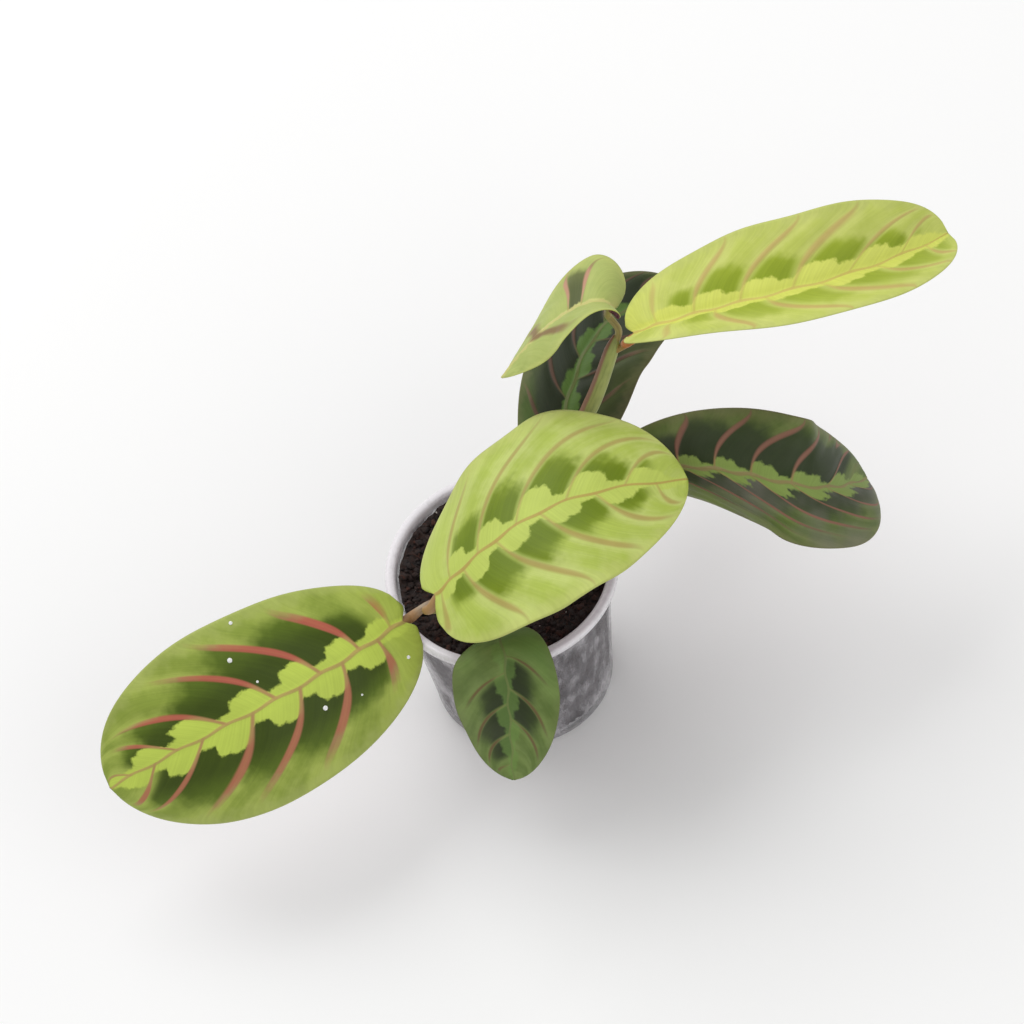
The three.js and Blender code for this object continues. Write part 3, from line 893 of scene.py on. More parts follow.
def grid_corners(rows: int, columns: int, around: bool = False, flip: bool = False) -> Array:
    """The corners of the four-sided faces of a grid of points.

    Args:
        rows: number of rows of points.
        columns: number of points in a row.
        around: whether the last column joins the first.
        flip: whether the faces look the other way.

    Returns:
        For each face, the row and column of its four corners. A column past the last is the first.
    """
    in_row = columns if around else columns - 1
    row, column = np.meshgrid(np.arange(rows - 1), np.arange(in_row), indexing="ij")
    steps = [(0, 0), (0, 1), (1, 1), (1, 0)]
    corners = [np.stack([row + i, column + j], -1) for i, j in (reversed(steps) if flip else steps)]
    return np.stack(corners, -2).reshape(-1, 4, 2)


def grid_faces(corners: Array, columns: int) -> Array:
    """The numbers of a grid's points at its faces' corners."""
    return corners[..., 0] * columns + corners[..., 1] % columns


def closed_rings(rings: int, sides: int) -> tuple[Array, list[list[int]]]:
    """The faces that join rings of points in turn, with the first and the last ring closed.

    Args:
        rings: number of rings.
        sides: number of points in a ring.

    Returns:
        The ring and side of the corners of the faces between rings, and all the faces.
    """
    corners = grid_corners(rings, sides, around=True)
    last = (rings - 1) * sides
    caps = [list(range(sides))[::-1], list(range(last, last + sides))]
    return corners, grid_faces(corners, sides).tolist() + caps


def smooth_path(points: list[Point], count: int) -> Array:
    """Evenly spaced points on a smooth curve through points.

    Args:
        points: the points that the curve passes through.
        count: how many points to return.

    Returns:
        The points, one a row.
    """
    known = np.array(points, float)
    ends = (2 * known[0] - known[1], 2 * known[-1] - known[-2])
    known = np.vstack([ends[0], known, ends[1]])
    share = np.linspace(0, 1, 41)[:, None]
    curve = []
    for a, b, c, d in zip(known, known[1:], known[2:], known[3:]):
        before, here, after = (math.sqrt(np.linalg.norm(q - p)) for p, q in ((a, b), (b, c), (c, d)))
        leaving = ((b - a) / before - (c - a) / (before + here) + (c - b) / here) * here
        arriving = ((c - b) / here - (d - b) / (here + after) + (d - c) / after) * here
        square, cube = share**2, share**3
        curve.append(
            (2 * cube - 3 * square + 1) * b
            + (cube - 2 * square + share) * leaving
            + (3 * square - 2 * cube) * c
            + (cube - square) * arriving
        )
    return respaced(np.vstack(curve), np.linspace(0, 1, count))


def respaced(line: Array, shares: Array) -> Array:
    """The points of a polyline at shares of its length.

    Args:
        line: the polyline's points.
        shares: the shares of its length, 0 to 1.

    Returns:
        The points, one a row.
    """
    length = lengths(line)
    return np.stack([np.interp(shares * length[-1], length, line[:, k]) for k in range(3)], -1)


def lengths(line: Array) -> Array:
    """The distance along a polyline to each of its points."""
    return np.concatenate([[0], np.cumsum(np.linalg.norm(np.diff(line, axis=0), axis=1))])


def bezier(points: list[Array], t: Array) -> Array:
    """The points of a cubic curve with four control points, at t from 0 to 1."""
    a, b, c, d = points
    return (1 - t) ** 3 * a + 3 * (1 - t) ** 2 * t * b + 3 * (1 - t) * t**2 * c + t**3 * d


def unit(vectors: Array) -> Array:
    """Vectors of length one in the same directions."""
    return vectors / np.linalg.norm(vectors, axis=-1, keepdims=True)


def sweep_frames(path: Array, start: Point) -> tuple[Array, Array]:
    """Two directions across a path at each of its points, carried along without twist.

    Args:
        path: the path's points.
        start: the direction that the first one leans to at the start.

    Returns:
        The first and the second direction at each point.
    """
    tangents = unit(np.gradient(path, axis=0))
    first = np.array(start, float)
    firsts = []
    for tangent in tangents:
        first = unit(first - tangent * np.dot(first, tangent))
        firsts.append(first)
    across = np.array(firsts)
    return across, np.cross(tangents, across)


def add_tube(draft: Draft, path: Array, radii: Array, sides: int, start: Point = (0, -1, 0)) -> None:
    """Adds a round tube, closed at both ends.

    Args:
        draft: the piece that it goes into.
        path: the points of its middle line.
        radii: its radius at each point, or at each point and side.
        sides: how many sides it has.
        start: the direction of its first side.
    """
    first, second = sweep_frames(path, start)
    angle = np.linspace(0, 2 * math.pi, sides, endpoint=False)
    radii = np.broadcast_to(np.reshape(radii, (len(path), -1)), (len(path), sides))[..., None]
    ring = first[:, None] * np.cos(angle)[:, None] + second[:, None] * np.sin(angle)[:, None]
    points = path[:, None] + ring * radii
    corners, faces = closed_rings(len(path), sides)
    along = lengths(path)
    places = np.stack([corners[..., 1] / sides, along[corners[..., 0]]], -1)
    turn = np.arange(sides) / sides
    caps = [np.stack([t, np.full(sides, d)], -1) for t, d in ((turn[::-1], 0.0), (turn, along[-1]))]
    draft.add(points, faces, **{StalkMap.ROUND.value: np.concatenate([places.reshape(-1, 2), *caps])})


def ripples(x: Array, y: Array, seed: int, waves: int, shortest: float, longest: float) -> Array:
    """A seeded uneven surface made of plain waves, about one high.

    Args:
        x: places, in millimetres.
        y: places, in millimetres.
        seed: the seed of its random draws.
        waves: how many waves it is made of.
        shortest: their shortest length, in millimetres.
        longest: their longest length, in millimetres.

    Returns:
        The height at each place.
    """
    random = np.random.default_rng(seed)
    total = np.zeros(np.broadcast(x, y).shape)
    for _ in range(waves):
        heading, phase = random.uniform(0, 2 * math.pi, 2)
        rate = 2 * math.pi / random.uniform(shortest, longest)
        total += np.sin(rate * (x * math.cos(heading) + y * math.sin(heading)) + phase)
    return total / math.sqrt(waves)


def install(piece: bpy.types.Object, slot: Slot, *nodes: str) -> None:
    """Fixes a piece to the plant.

    Args:
        piece: the piece, in its place.
        slot: the material slot meant for the piece; not used.
        nodes: the nodes of the model that it stands for.
    """
    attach(piece, BODY)
    if nodes:
        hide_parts(*nodes)
    LOG.info("%s: %d faces, for %s", piece.name, len(piece.data.polygons), ", ".join(nodes) or "no node")


# ---------------------------------------------------------------- leaves

VEIN_LEAN = 0.7  # the slant at which the side veins leave the midrib
VEIN_BEND = 2.1  # how strongly they then bend towards the tip
EDGE_LEVELLING = 9  # the larger, the nearer to the edge that the veins stop bending
VALLEY_SHARPNESS = 1.5  # the larger, the narrower the valleys along the side veins
VALLEY_LIFT = 0.4  # how much of a valley's depth the panels beside it rise
LOBE_REACH = 0.3  # share of the length over which the base runs back in two lobes
LOBE_ROUNDNESS = 1.3
WAVE_OFFSET = 0.31  # how much nearer to the base the right edge's waves lie, in waves
MIDRIB_POINTS = 401  # points that the midrib's length is measured by
COLUMN_CROWDING = 1.15  # the larger, the closer the columns of points lie to the midrib
SWAY_SCALE = (11.0, 13.0)  # millimetres for a vein line, and from the midrib to the edge
SWAY_WAVES = 9
SWAY_LENGTHS = (9.0, 24.0)  # in millimetres
HEEL_SHARES = (0.0, 0.035, 0.11)  # shares of the midrib at which the stalk runs under the blade
STALK_POINTS = 90
STALK_SIDES = 20
STALK_DEPTH = 12.0  # how deep the stalks stand in the soil, in millimetres


@dataclass(frozen=True)
class BladeForm:
    """The form of a leaf blade. Pairs are the left and the right half, seen from the base.

    Lengths are in millimetres and angles in degrees. Roll and fullness go from base to tip.
    """

    midrib: tuple[Point, Point, Point, Point]  # control points of its curve
    width: Pair
    fold: Pair
    tip_fold: Pair
    curl: Pair
    roll: Pair
    fullness: Pair
    heel: float  # width at the very base, as a share of the greatest
    lobe: float
    wave: tuple[float, float, float]  # height, number of waves, and where they start
    veins: int
    crowding: float  # the smaller, the closer the veins lie to the base
    sweep: float
    valley: float
    widest: Pair  # shares of the length
    stagger: float = 0.5
    lean: Pair = (0.0, 0.0)
    tip_lean: Pair = (0.0, 0.0)
    lean_turn: Pair = (0.5, 0.78)  # shares of the veins between which lean turns to tip_lean
    tip_half_width: float = 0.35

    def middle(self, u: Array) -> tuple[Array, Array]:
        """The midrib's points and directions at shares of its length.

        Args:
            u: the shares.

        Returns:
            The points and the directions.
        """
        points = [np.array(p, float) for p in self.midrib]
        t = np.linspace(0, 1, MIDRIB_POINTS)[:, None]
        length = lengths(bezier(points, t))
        t = np.interp(u, length / length[-1], t[:, 0])[..., None]
        a, b, c, d = points
        heading = (1 - t) ** 2 * (b - a) + 2 * (1 - t) * t * (c - b) + t**2 * (d - c)
        return bezier(points, t), unit(heading)

    def directions(self, u: Array) -> tuple[Array, Array, Array, Array]:
        """The midrib's points and the blade's own directions there.

        Args:
            u: shares of the midrib's length.

        Returns:
            The points, and the directions along, right and up.
        """
        point, along = self.middle(u)
        level = unit(np.cross(along, [0.0, 0.0, 1.0]))
        raised = np.cross(level, along)
        roll = np.radians(self.roll[0] + (self.roll[1] - self.roll[0]) * u)[..., None]
        right = level * np.cos(roll) + raised * np.sin(roll)
        return point, along, right, raised * np.cos(roll) - level * np.sin(roll)

    def outline(self, side: Array, u: Array) -> Array:
        """The width of a half at shares of the length.

        Args:
            side: the half, 0 for the left and 1 for the right.
            u: the shares of the length.

        Returns:
            The widths, as shares of the greatest.
        """
        widest = np.where(side == 1, self.widest[1], self.widest[0])
        low, high = self.fullness
        base = (1 - np.clip(1 - u / widest, 0, 1) ** low) ** (1 / low)
        tip = (1 - np.clip((u - widest) / (1 - widest), 0, 1) ** high) ** (1 / high)
        return np.where(u < widest, self.heel + (1 - self.heel) * base, tip)

    def reach(self, line: Array, v: Array) -> Array:
        """The shares of the length that vein lines have reached.

        Args:
            line: numbers of vein lines.
            v: places from edge to edge.

        Returns:
            The shares.
        """
        start = (line / self.veins) ** (1 / self.crowding)
        out = np.abs(v) - np.abs(v) ** EDGE_LEVELLING / EDGE_LEVELLING
        sweep = self.sweep * (VEIN_LEAN * out + VEIN_BEND * out**3) * (1 - start**3)
        return 1 - (1 - start) ** (1 + sweep)

    def turns(self, line: Array, v: Array, side: Array | int) -> Array:
        """The places of points among the side veins of their half: whole numbers on the veins.

        Args:
            line: numbers of vein lines.
            v: places from edge to edge.
            side: the half, 0 for the left and 1 for the right.

        Returns:
            The places, counted in veins.
        """
        low, high = self.lean_turn
        share = np.clip((line / self.veins - low) / (high - low), 0, 1)
        share = share**2 * (3 - 2 * share)
        leans = [a + (b - a) * share for a, b in zip(self.lean, self.tip_lean)]
        return line + side * self.stagger + np.where(side == 1, leans[1], leans[0]) * np.abs(v)

    def surface(self, line: Array, v: Array) -> tuple[Array, Array, Array]:
        """The blade's middle surface.

        Args:
            line: numbers of vein lines, whole on the left half's veins.
            v: places from the left edge, -1, to the right one, 1.

        Returns:
            The points, the normals and the distances from the midrib.
        """
        line, v = np.broadcast_arrays(line, v)
        u = self.reach(line, v)
        point, along, right, up = self.directions(u)
        side, sign, out = (v > 0).astype(int), np.where(v > 0, 1.0, -1.0), np.abs(v)
        folds = [np.radians(a + (b - a) * u) for a, b in zip(self.fold, self.tip_fold)]
        fold = np.where(side == 1, folds[1], folds[0])
        curl = np.radians(np.where(side == 1, self.curl[1], self.curl[0]))
        width = np.where(side == 1, self.width[1], self.width[0]) * self.outline(side, u)
        width = np.maximum(width, self.tip_half_width)
        across = width * (np.sin(fold + curl * out) - np.sin(fold)) / curl
        height, waves, phase = self.wave
        ripple = height * np.sin(2 * math.pi * (waves * u + phase + WAVE_OFFSET * side)) * out**3
        rise = width * (np.cos(fold) - np.cos(fold + curl * out)) / curl + ripple * np.sin(math.pi * u)
        near_base = np.clip(1 - u / LOBE_REACH, 0, 1)
        back = self.lobe * np.sin(out * math.pi / 2) ** LOBE_ROUNDNESS * near_base**2
        slope = np.where(v == 0, (folds[1] - folds[0]) / 2, sign * (fold + curl * out))
        normal = up * np.cos(slope)[..., None] - right * np.sin(slope)[..., None]
        turns = self.turns(line, v, side)
        valley = ((1 + np.cos(2 * math.pi * turns)) / 2) ** VALLEY_SHARPNESS
        fade = np.sqrt(np.clip(np.sin(math.pi * out) * np.sin(math.pi * u), 0, 1))
        dip = self.valley * (VALLEY_LIFT - valley) * fade
        point = point + right * (sign * across)[..., None] + up * rise[..., None] - along * back[..., None]
        return point + normal * dip[..., None], normal, width * out


@dataclass(frozen=True)
class Relief:
    """The fine relief of a blade, in millimetres."""

    thickness: float = 0.42
    edge_thickness: float = 0.24
    groove: float = 0.3
    groove_width: float = 1.5
    rib: float = 0.22
    rib_width: float = 0.5
    vein: float = 0.13
    vein_width: float = 0.5
    keel: float = 0.8
    keel_width: float = 0.7
    waviness: float = 0.1

    def _half(self, v: Array) -> Array:
        """Half the blade's thickness, which is least at its edge."""
        return (self.edge_thickness + (self.thickness - self.edge_thickness) * (1 - v**2)) / 2

    def upper(self, form: BladeForm, v: Array, line: Array, across: Array, gap: Array) -> Array:
        """The height of the upper side above the middle surface.

        Args:
            form: the blade.
            v: places from edge to edge.
            line: numbers of vein lines.
            across: distance from the midrib.
            gap: distance from one vein line to the next.

        Returns:
            The heights.
        """
        turns = form.turns(line, v, (v > 0).astype(int))
        from_vein = np.abs(turns - np.round(turns)) * gap
        strength = np.clip(np.abs(v) / 0.15, 0, 1) * np.clip((1 - np.abs(v)) / 0.3, 0, 1)
        veins = self.vein * np.exp(-((from_vein / self.vein_width) ** 2)) * strength
        ending = np.clip((form.veins - line) / form.veins / 0.2, 0, 1)
        groove = self.groove * np.exp(-((across / self.groove_width) ** 2))
        rib = self.rib * np.exp(-((across / self.rib_width) ** 2)) - groove
        return self._half(v) + veins * ending + rib * ending

    def lower(self, form: BladeForm, v: Array, line: Array, across: Array) -> Array:
        """The depth of the lower side below the middle surface.

        Args:
            form: the blade.
            v: places from edge to edge.
            line: numbers of vein lines.
            across: distance from the midrib.

        Returns:
            The depths.
        """
        start = line / form.veins
        return self._half(v) + self.keel * (1 - start) * np.exp(-((across / self.keel_width) ** 2))


@dataclass(frozen=True)
class StalkForm:
    """A leaf's stalk: its route and its radii at its start, its thinnest and the blade."""

    neck: tuple[float, float, float]
    route: tuple[Point, ...] = ()
    fork: Fork | None = None
    joint_length: float = 7.0
    joint_swelling: float = 0.22


@dataclass
class Leaf:
    """One leaf: its blade and its stalk."""

    letter: str
    form: BladeForm
    stalk: StalkForm
    finish: LeafFinish
    slot: Slot
    underside: UndersideFinish = field(default_factory=UndersideFinish)
    stalk_finish: StalkFinish = field(default_factory=StalkFinish)
    relief: Relief = field(default_factory=Relief)
    rows_per_vein: int = 24
    columns: int = 69

    def blade(self, effects: Effects) -> bpy.types.Object:
        """Builds the blade with its relief and its two faces.

        Args:
            effects: the shared effects.

        Returns:
            The blade.
        """
        rows = self.form.veins * self.rows_per_vein + 1
        line = np.linspace(0, self.form.veins, rows)[:, None]
        even = np.linspace(-1, 1, self.columns)
        v = (np.sign(even) * np.abs(even) ** COLUMN_CROWDING)[None, :]
        points, normals, across = self.form.surface(line, v)
        line, v = np.broadcast_arrays(line, v)
        per_line, per_column = np.gradient(points, axis=0), np.gradient(points, axis=1)
        area = np.linalg.norm(np.cross(per_line, per_column), axis=-1)
        gap = self.rows_per_vein * area / np.maximum(np.linalg.norm(per_column, axis=-1), 1e-6)
        x, y = line * SWAY_SCALE[0], v * SWAY_SCALE[1]
        sway = self.relief.waviness * ripples(x, y, ord(self.letter), SWAY_WAVES, *SWAY_LENGTHS)
        points = points + normals * (sway * np.sin(math.pi * np.abs(v)))[..., None]
        up = self.relief.upper(self.form, v, line, across, gap)
        down = self.relief.lower(self.form, v, line, across)
        draft = Draft()
        veins = np.stack([np.stack([v, self.form.turns(line, v, side)], -1) for side in (0, 1)])
        sizes = np.stack([across, gap], -1)
        upper, lower = points + normals * up[..., None], points - normals * down[..., None]
        for finish, skin, flip in ((0, upper, False), (1, lower, True)):
            corners = grid_corners(rows, self.columns, flip=flip)
            faces = grid_faces(corners, self.columns)
            draft.add(skin, faces, finish, **self._maps(corners, veins, sizes))
        self._close_edge(draft, rows, veins, sizes)
        materials = [
            self.finish.material(f"leaf_{self.letter}_face", effects),
            self.underside.material(f"leaf_{self.letter}_back", effects),
        ]
        return draft.build(f"blade_{self.letter}", materials)

    def _maps(self, corners: Array, veins: Array, sizes: Array) -> dict[str, Array]:
        """The surface coordinates at the corners of faces.

        Args:
            corners: the row and column of each face's corners.
            veins: the vein map's numbers for the left and the right half.
            sizes: the size map's numbers.

        Returns:
            The coordinates by the names of their maps.
        """
        row, column = corners[..., 0], corners[..., 1]
        half = (column.min(-1, keepdims=True) >= self.columns // 2).astype(int)
        return {LeafMap.VEINS.value: veins[half, row, column], LeafMap.SIZES.value: sizes[row, column]}

    def _close_edge(self, draft: Draft, rows: int, veins: Array, sizes: Array) -> None:
        """Joins the two faces round the blade's edge.

        Args:
            draft: the piece, with both faces in it.
            rows: number of rows of points.
            veins: the vein map's numbers for the left and the right half.
            sizes: the size map's numbers.
        """
        last = self.columns - 1
        edge = [(0, j) for j in range(last)]
        edge += [(i, last) for i in range(rows - 1)]
        edge += [(rows - 1, j) for j in range(last, 0, -1)]
        edge += [(i, 0) for i in range(rows - 1, 0, -1)]
        under = rows * self.columns
        faces, corners = [], []
        for here, there in zip(edge, edge[1:] + edge[:1]):
            a, b = (i * self.columns + j for i, j in (here, there))
            faces.append([a - draft.count, under + a - draft.count, under + b - draft.count, b - draft.count])
            corners.append([here, here, there, there])
        draft.add(np.zeros((0, 3)), faces, 0, **self._maps(np.array(corners), veins, sizes))

    def petiole(self, shoot: Shoot) -> bpy.types.Object:
        """Builds the stalk, from the soil or the shoot into the blade's midrib.

        Args:
            shoot: the shoot that it may grow from.

        Returns:
            The stalk.
        """
        _, along, _, up = (part[0] for part in self.form.directions(np.zeros(1)))
        heel, _ = self.form.middle(np.array(HEEL_SHARES))
        top = self.stalk.neck[2]
        # It comes up from below, bends at a knee, and runs on under the midrib.
        knee = heel[0] - along * 3.2 * top - up * (1.7 * top + 0.4)
        entry = [heel[0] - up * (top + 0.25), heel[1] - up * 0.85, heel[2] - up * 0.5]
        start = shoot.fork_points(self.stalk.fork) if self.stalk.fork else rooted(self.stalk.route)
        path = smooth_path([*start, tuple(knee), *(tuple(p) for p in entry)], STALK_POINTS)
        run = lengths(path)
        base, thin, _ = self.stalk.neck
        into_blade = float(np.linalg.norm(heel[2] - heel[0]))
        total = run[-1] - into_blade
        share = run / total
        # It thins on its way up, and ends in a point under the blade.
        places = [0, 0.3, 0.6, 0.85, 1.0, 1 + 0.35 * into_blade / total, run[-1] / total]
        radii = np.interp(share, places, [base, base * 0.92, thin, thin, 0.9 * top, 0.6, 0.3])
        half_joint = self.stalk.joint_length / 2
        joint = (run - (total - half_joint)) / half_joint
        radii = radii * (1 + self.stalk.joint_swelling * np.exp(-(joint**4)))
        draft = Draft()
        add_tube(draft, path, radii, STALK_SIDES)
        finish = replace(self.stalk_finish, joint_start=float(total - self.stalk.joint_length))
        return draft.build(f"petiole_{self.letter}", [finish.material(f"stalk_{self.letter}_skin")])


def rooted(points: tuple[Point, ...]) -> list[Point]:
    """A line of points carried on down into the soil."""
    x, y, z = points[0]
    return [(x, y, z - STALK_DEPTH), *points]


@dataclass
class Shoot:
    """The main shoot: a stem in a sheath whose edge laps over, forking at its top."""

    route: tuple[Point, ...] = ((3.5, 1, 44), (9, 12, 62), (23.6, 29.8, 78), (31.6, 38.6, 96.5))
    radii: tuple[float, ...] = (1.5, 1.5, 1.4, 2.1, 1.7)
    fork_share: float = 0.97
    fork_aside: Point = (1, -0.4, 0)
    lap: float = 0.32  # height of the sheath's lapped edge
    lap_start: float = 0.2  # shares of the shoot
    mouth_start: float = 0.93
    mouth_narrowing: float = 0.55
    sides: int = 40
    finish: StalkFinish = StalkFinish(ground=colour("9fa75a"), streak=colour("87924c"), edge_width=0.12)

    def fork_points(self, fork: Fork) -> list[Point]:
        """The first points of a stalk that grows out of the shoot.

        Args:
            fork: the place that it grows from.

        Returns:
            A point inside the shoot and one just outside it.
        """
        steps = 200
        path = smooth_path(list(self.route), steps + 1)
        along = unit(path[-1] - path[-2])
        if fork is Fork.TIP:
            return [tuple(path[-1] - along * 4.0), tuple(path[-1] + along * 1.5)]
        start = path[int(self.fork_share * steps)]
        aside = unit(np.array(self.fork_aside, float))
        return [tuple(start - along * 3.0), tuple(start + aside * (self.radii[-1] + 1.0))]

    def build(self) -> bpy.types.Object:
        """Builds the shoot with its sheath.

        Returns:
            The shoot.
        """
        path = smooth_path(rooted(self.route), 120)
        share = lengths(path) / lengths(path)[-1]
        radius = np.interp(share, np.linspace(0, 1, len(self.radii)), self.radii)
        turn = np.linspace(0, 1, self.sides, endpoint=False)
        lap = self.lap * (1 - turn)[None, :] * np.clip((share - self.lap_start) / 0.1, 0, 1)[:, None]
        mouth = np.clip((share - self.mouth_start) / 0.07, 0, 1)[:, None]
        radii = radius[:, None] - self.lap / 2 + lap
        draft = Draft()
        radii = radii * (1 - self.mouth_narrowing * mouth**2)
        add_tube(draft, path, radii, self.sides, (-1, -0.2, 0))
        return draft.build("sheathed_shoot", [self.finish.material("shoot_skin")])


# ---------------------------------------------------------------- pot and soil


@dataclass
class Pot:
    """A thin clear plastic pot with a rolled lip and drain holes."""

    height: float = 50.0
    lip_radius: float = 30.0
    lip_height: float = 2.4
    lip_width: float = 2.6
    base_radius: float = 23.5
    base_bevel: float = 1.4
    cad_wall: float = 0.8
    wall: float = 0.5
    drain_holes: int = 5
    drain_radius: float = 2.0
    drain_circle: float = 14.0
    flutes: int = 30
    flute_depth: float = 0.09
    flute_ends: Pair = (3.0, 45.5)  # heights between which the flutes show
    flute_fades: Pair = (6.0, 3.0)  # over how much height they fade in and out
    sides: int = 240
    finish: PlasticFinish = field(default_factory=PlasticFinish)

    def inside(self, height: float) -> float:
        """Inner radius of the wall at a height."""
        low, high = self.base_radius - self.cad_wall, self.lip_radius - self.lip_width
        return low + (high - low) * height / self.height

    def outside(self, height: float) -> float:
        """Outer radius of the wall at a height."""
        return self.inside(height) + self.wall

    def profile(self) -> list[Pair]:
        """The wall's section, from the middle of the base out, up, over the lip and back.

        Returns:
            The radius and height of its points.
        """
        foot = self.height - self.lip_height
        top, lip = self.height, self.lip_radius
        skirt = 0.45
        bevel = self.base_bevel
        rounding = 0.9
        turns = 6
        points = [(PINHOLE, 0.0), (self.base_radius - bevel - 0.6, 0.0), (self.base_radius - bevel, 0.12)]
        for step in range(1, turns):
            turn = step / turns * math.pi / 2
            points.append((self.base_radius - bevel * (1 - math.sin(turn)), bevel * (1 - math.cos(turn))))
        points += [(self.outside(h), h) for h in np.linspace(bevel + 0.4, foot + 0.7, 24)]
        points += [(self.outside(foot) + 0.2, foot + 1.2), (lip - 1.2, foot + 1.35)]
        points += [(lip - skirt - 0.15, foot + 1.0), (lip - skirt, foot + 0.15)]
        points += [(lip - skirt / 2, foot), (lip, foot + 0.25)]
        for step in range(turns + 1):
            turn = step / turns * math.pi / 2
            points.append((lip - rounding * (1 - math.cos(turn)), top - rounding * (1 - math.sin(turn))))
        points += [(self.inside(top) + 0.7, top - 0.05), (self.inside(top) + 0.2, top - 0.4)]
        points += [(self.inside(h), h) for h in np.linspace(top - 1.1, bevel + 1.0, 24)]
        points += [(self.base_radius - bevel - 0.6, 0.75), (PINHOLE, 0.6)]
        return points

    def build(self, effects: Effects) -> bpy.types.Object:
        """Builds the pot.

        Args:
            effects: the shared effects.

        Returns:
            The pot.
        """
        section = np.array(self.profile())
        angle = np.linspace(0, 2 * math.pi, self.sides, endpoint=False)
        height = section[:, 1:2]
        (low, high), (fade_in, fade_out) = self.flute_ends, self.flute_fades
        fade = np.clip((height - low) / fade_in, 0, 1) * np.clip((high - height) / fade_out, 0, 1)
        radius = section[:, :1] - self.flute_depth * fade * (0.5 + 0.5 * np.cos(self.flutes * angle))[None, :]
        points = np.stack([radius * np.cos(angle), radius * np.sin(angle), height + 0 * angle], -1)
        _, faces = closed_rings(len(section), self.sides)
        draft = Draft()
        draft.add(points, faces)
        pot = draft.build("pot_shell", [self.finish.material("clouded_plastic", effects)])
        self._drill(pot)
        return pot

    def _drill(self, pot: bpy.types.Object) -> None:
        """Cuts the drain holes in the base.

        Args:
            pot: the pot, which is changed.
        """
        drills = bmesh.new()
        radius = self.drain_radius * MM
        for k in range(self.drain_holes):
            angle = 2 * math.pi * k / self.drain_holes
            x, y = self.drain_circle * math.cos(angle), self.drain_circle * math.sin(angle)
            where = Matrix.Translation((x * MM, y * MM, 0))
            bmesh.ops.create_cone(
                drills, cap_ends=True, segments=32, radius1=radius, radius2=radius, depth=4 * MM, matrix=where
            )
        mesh = bpy.data.meshes.new("drills")
        drills.to_mesh(mesh)
        drills.free()
        tool = new_object("drills", mesh)
        cut = pot.modifiers.new("drain_holes", "BOOLEAN")
        cut.object = tool
        cut.operation = "DIFFERENCE"
        cut.solver = "EXACT"
        settled = pot.evaluated_get(bpy.context.evaluated_depsgraph_get())
        result = bpy.data.meshes.new_from_object(settled)
        pot.modifiers.clear()
        pot.data = result
        bpy.data.objects.remove(tool)


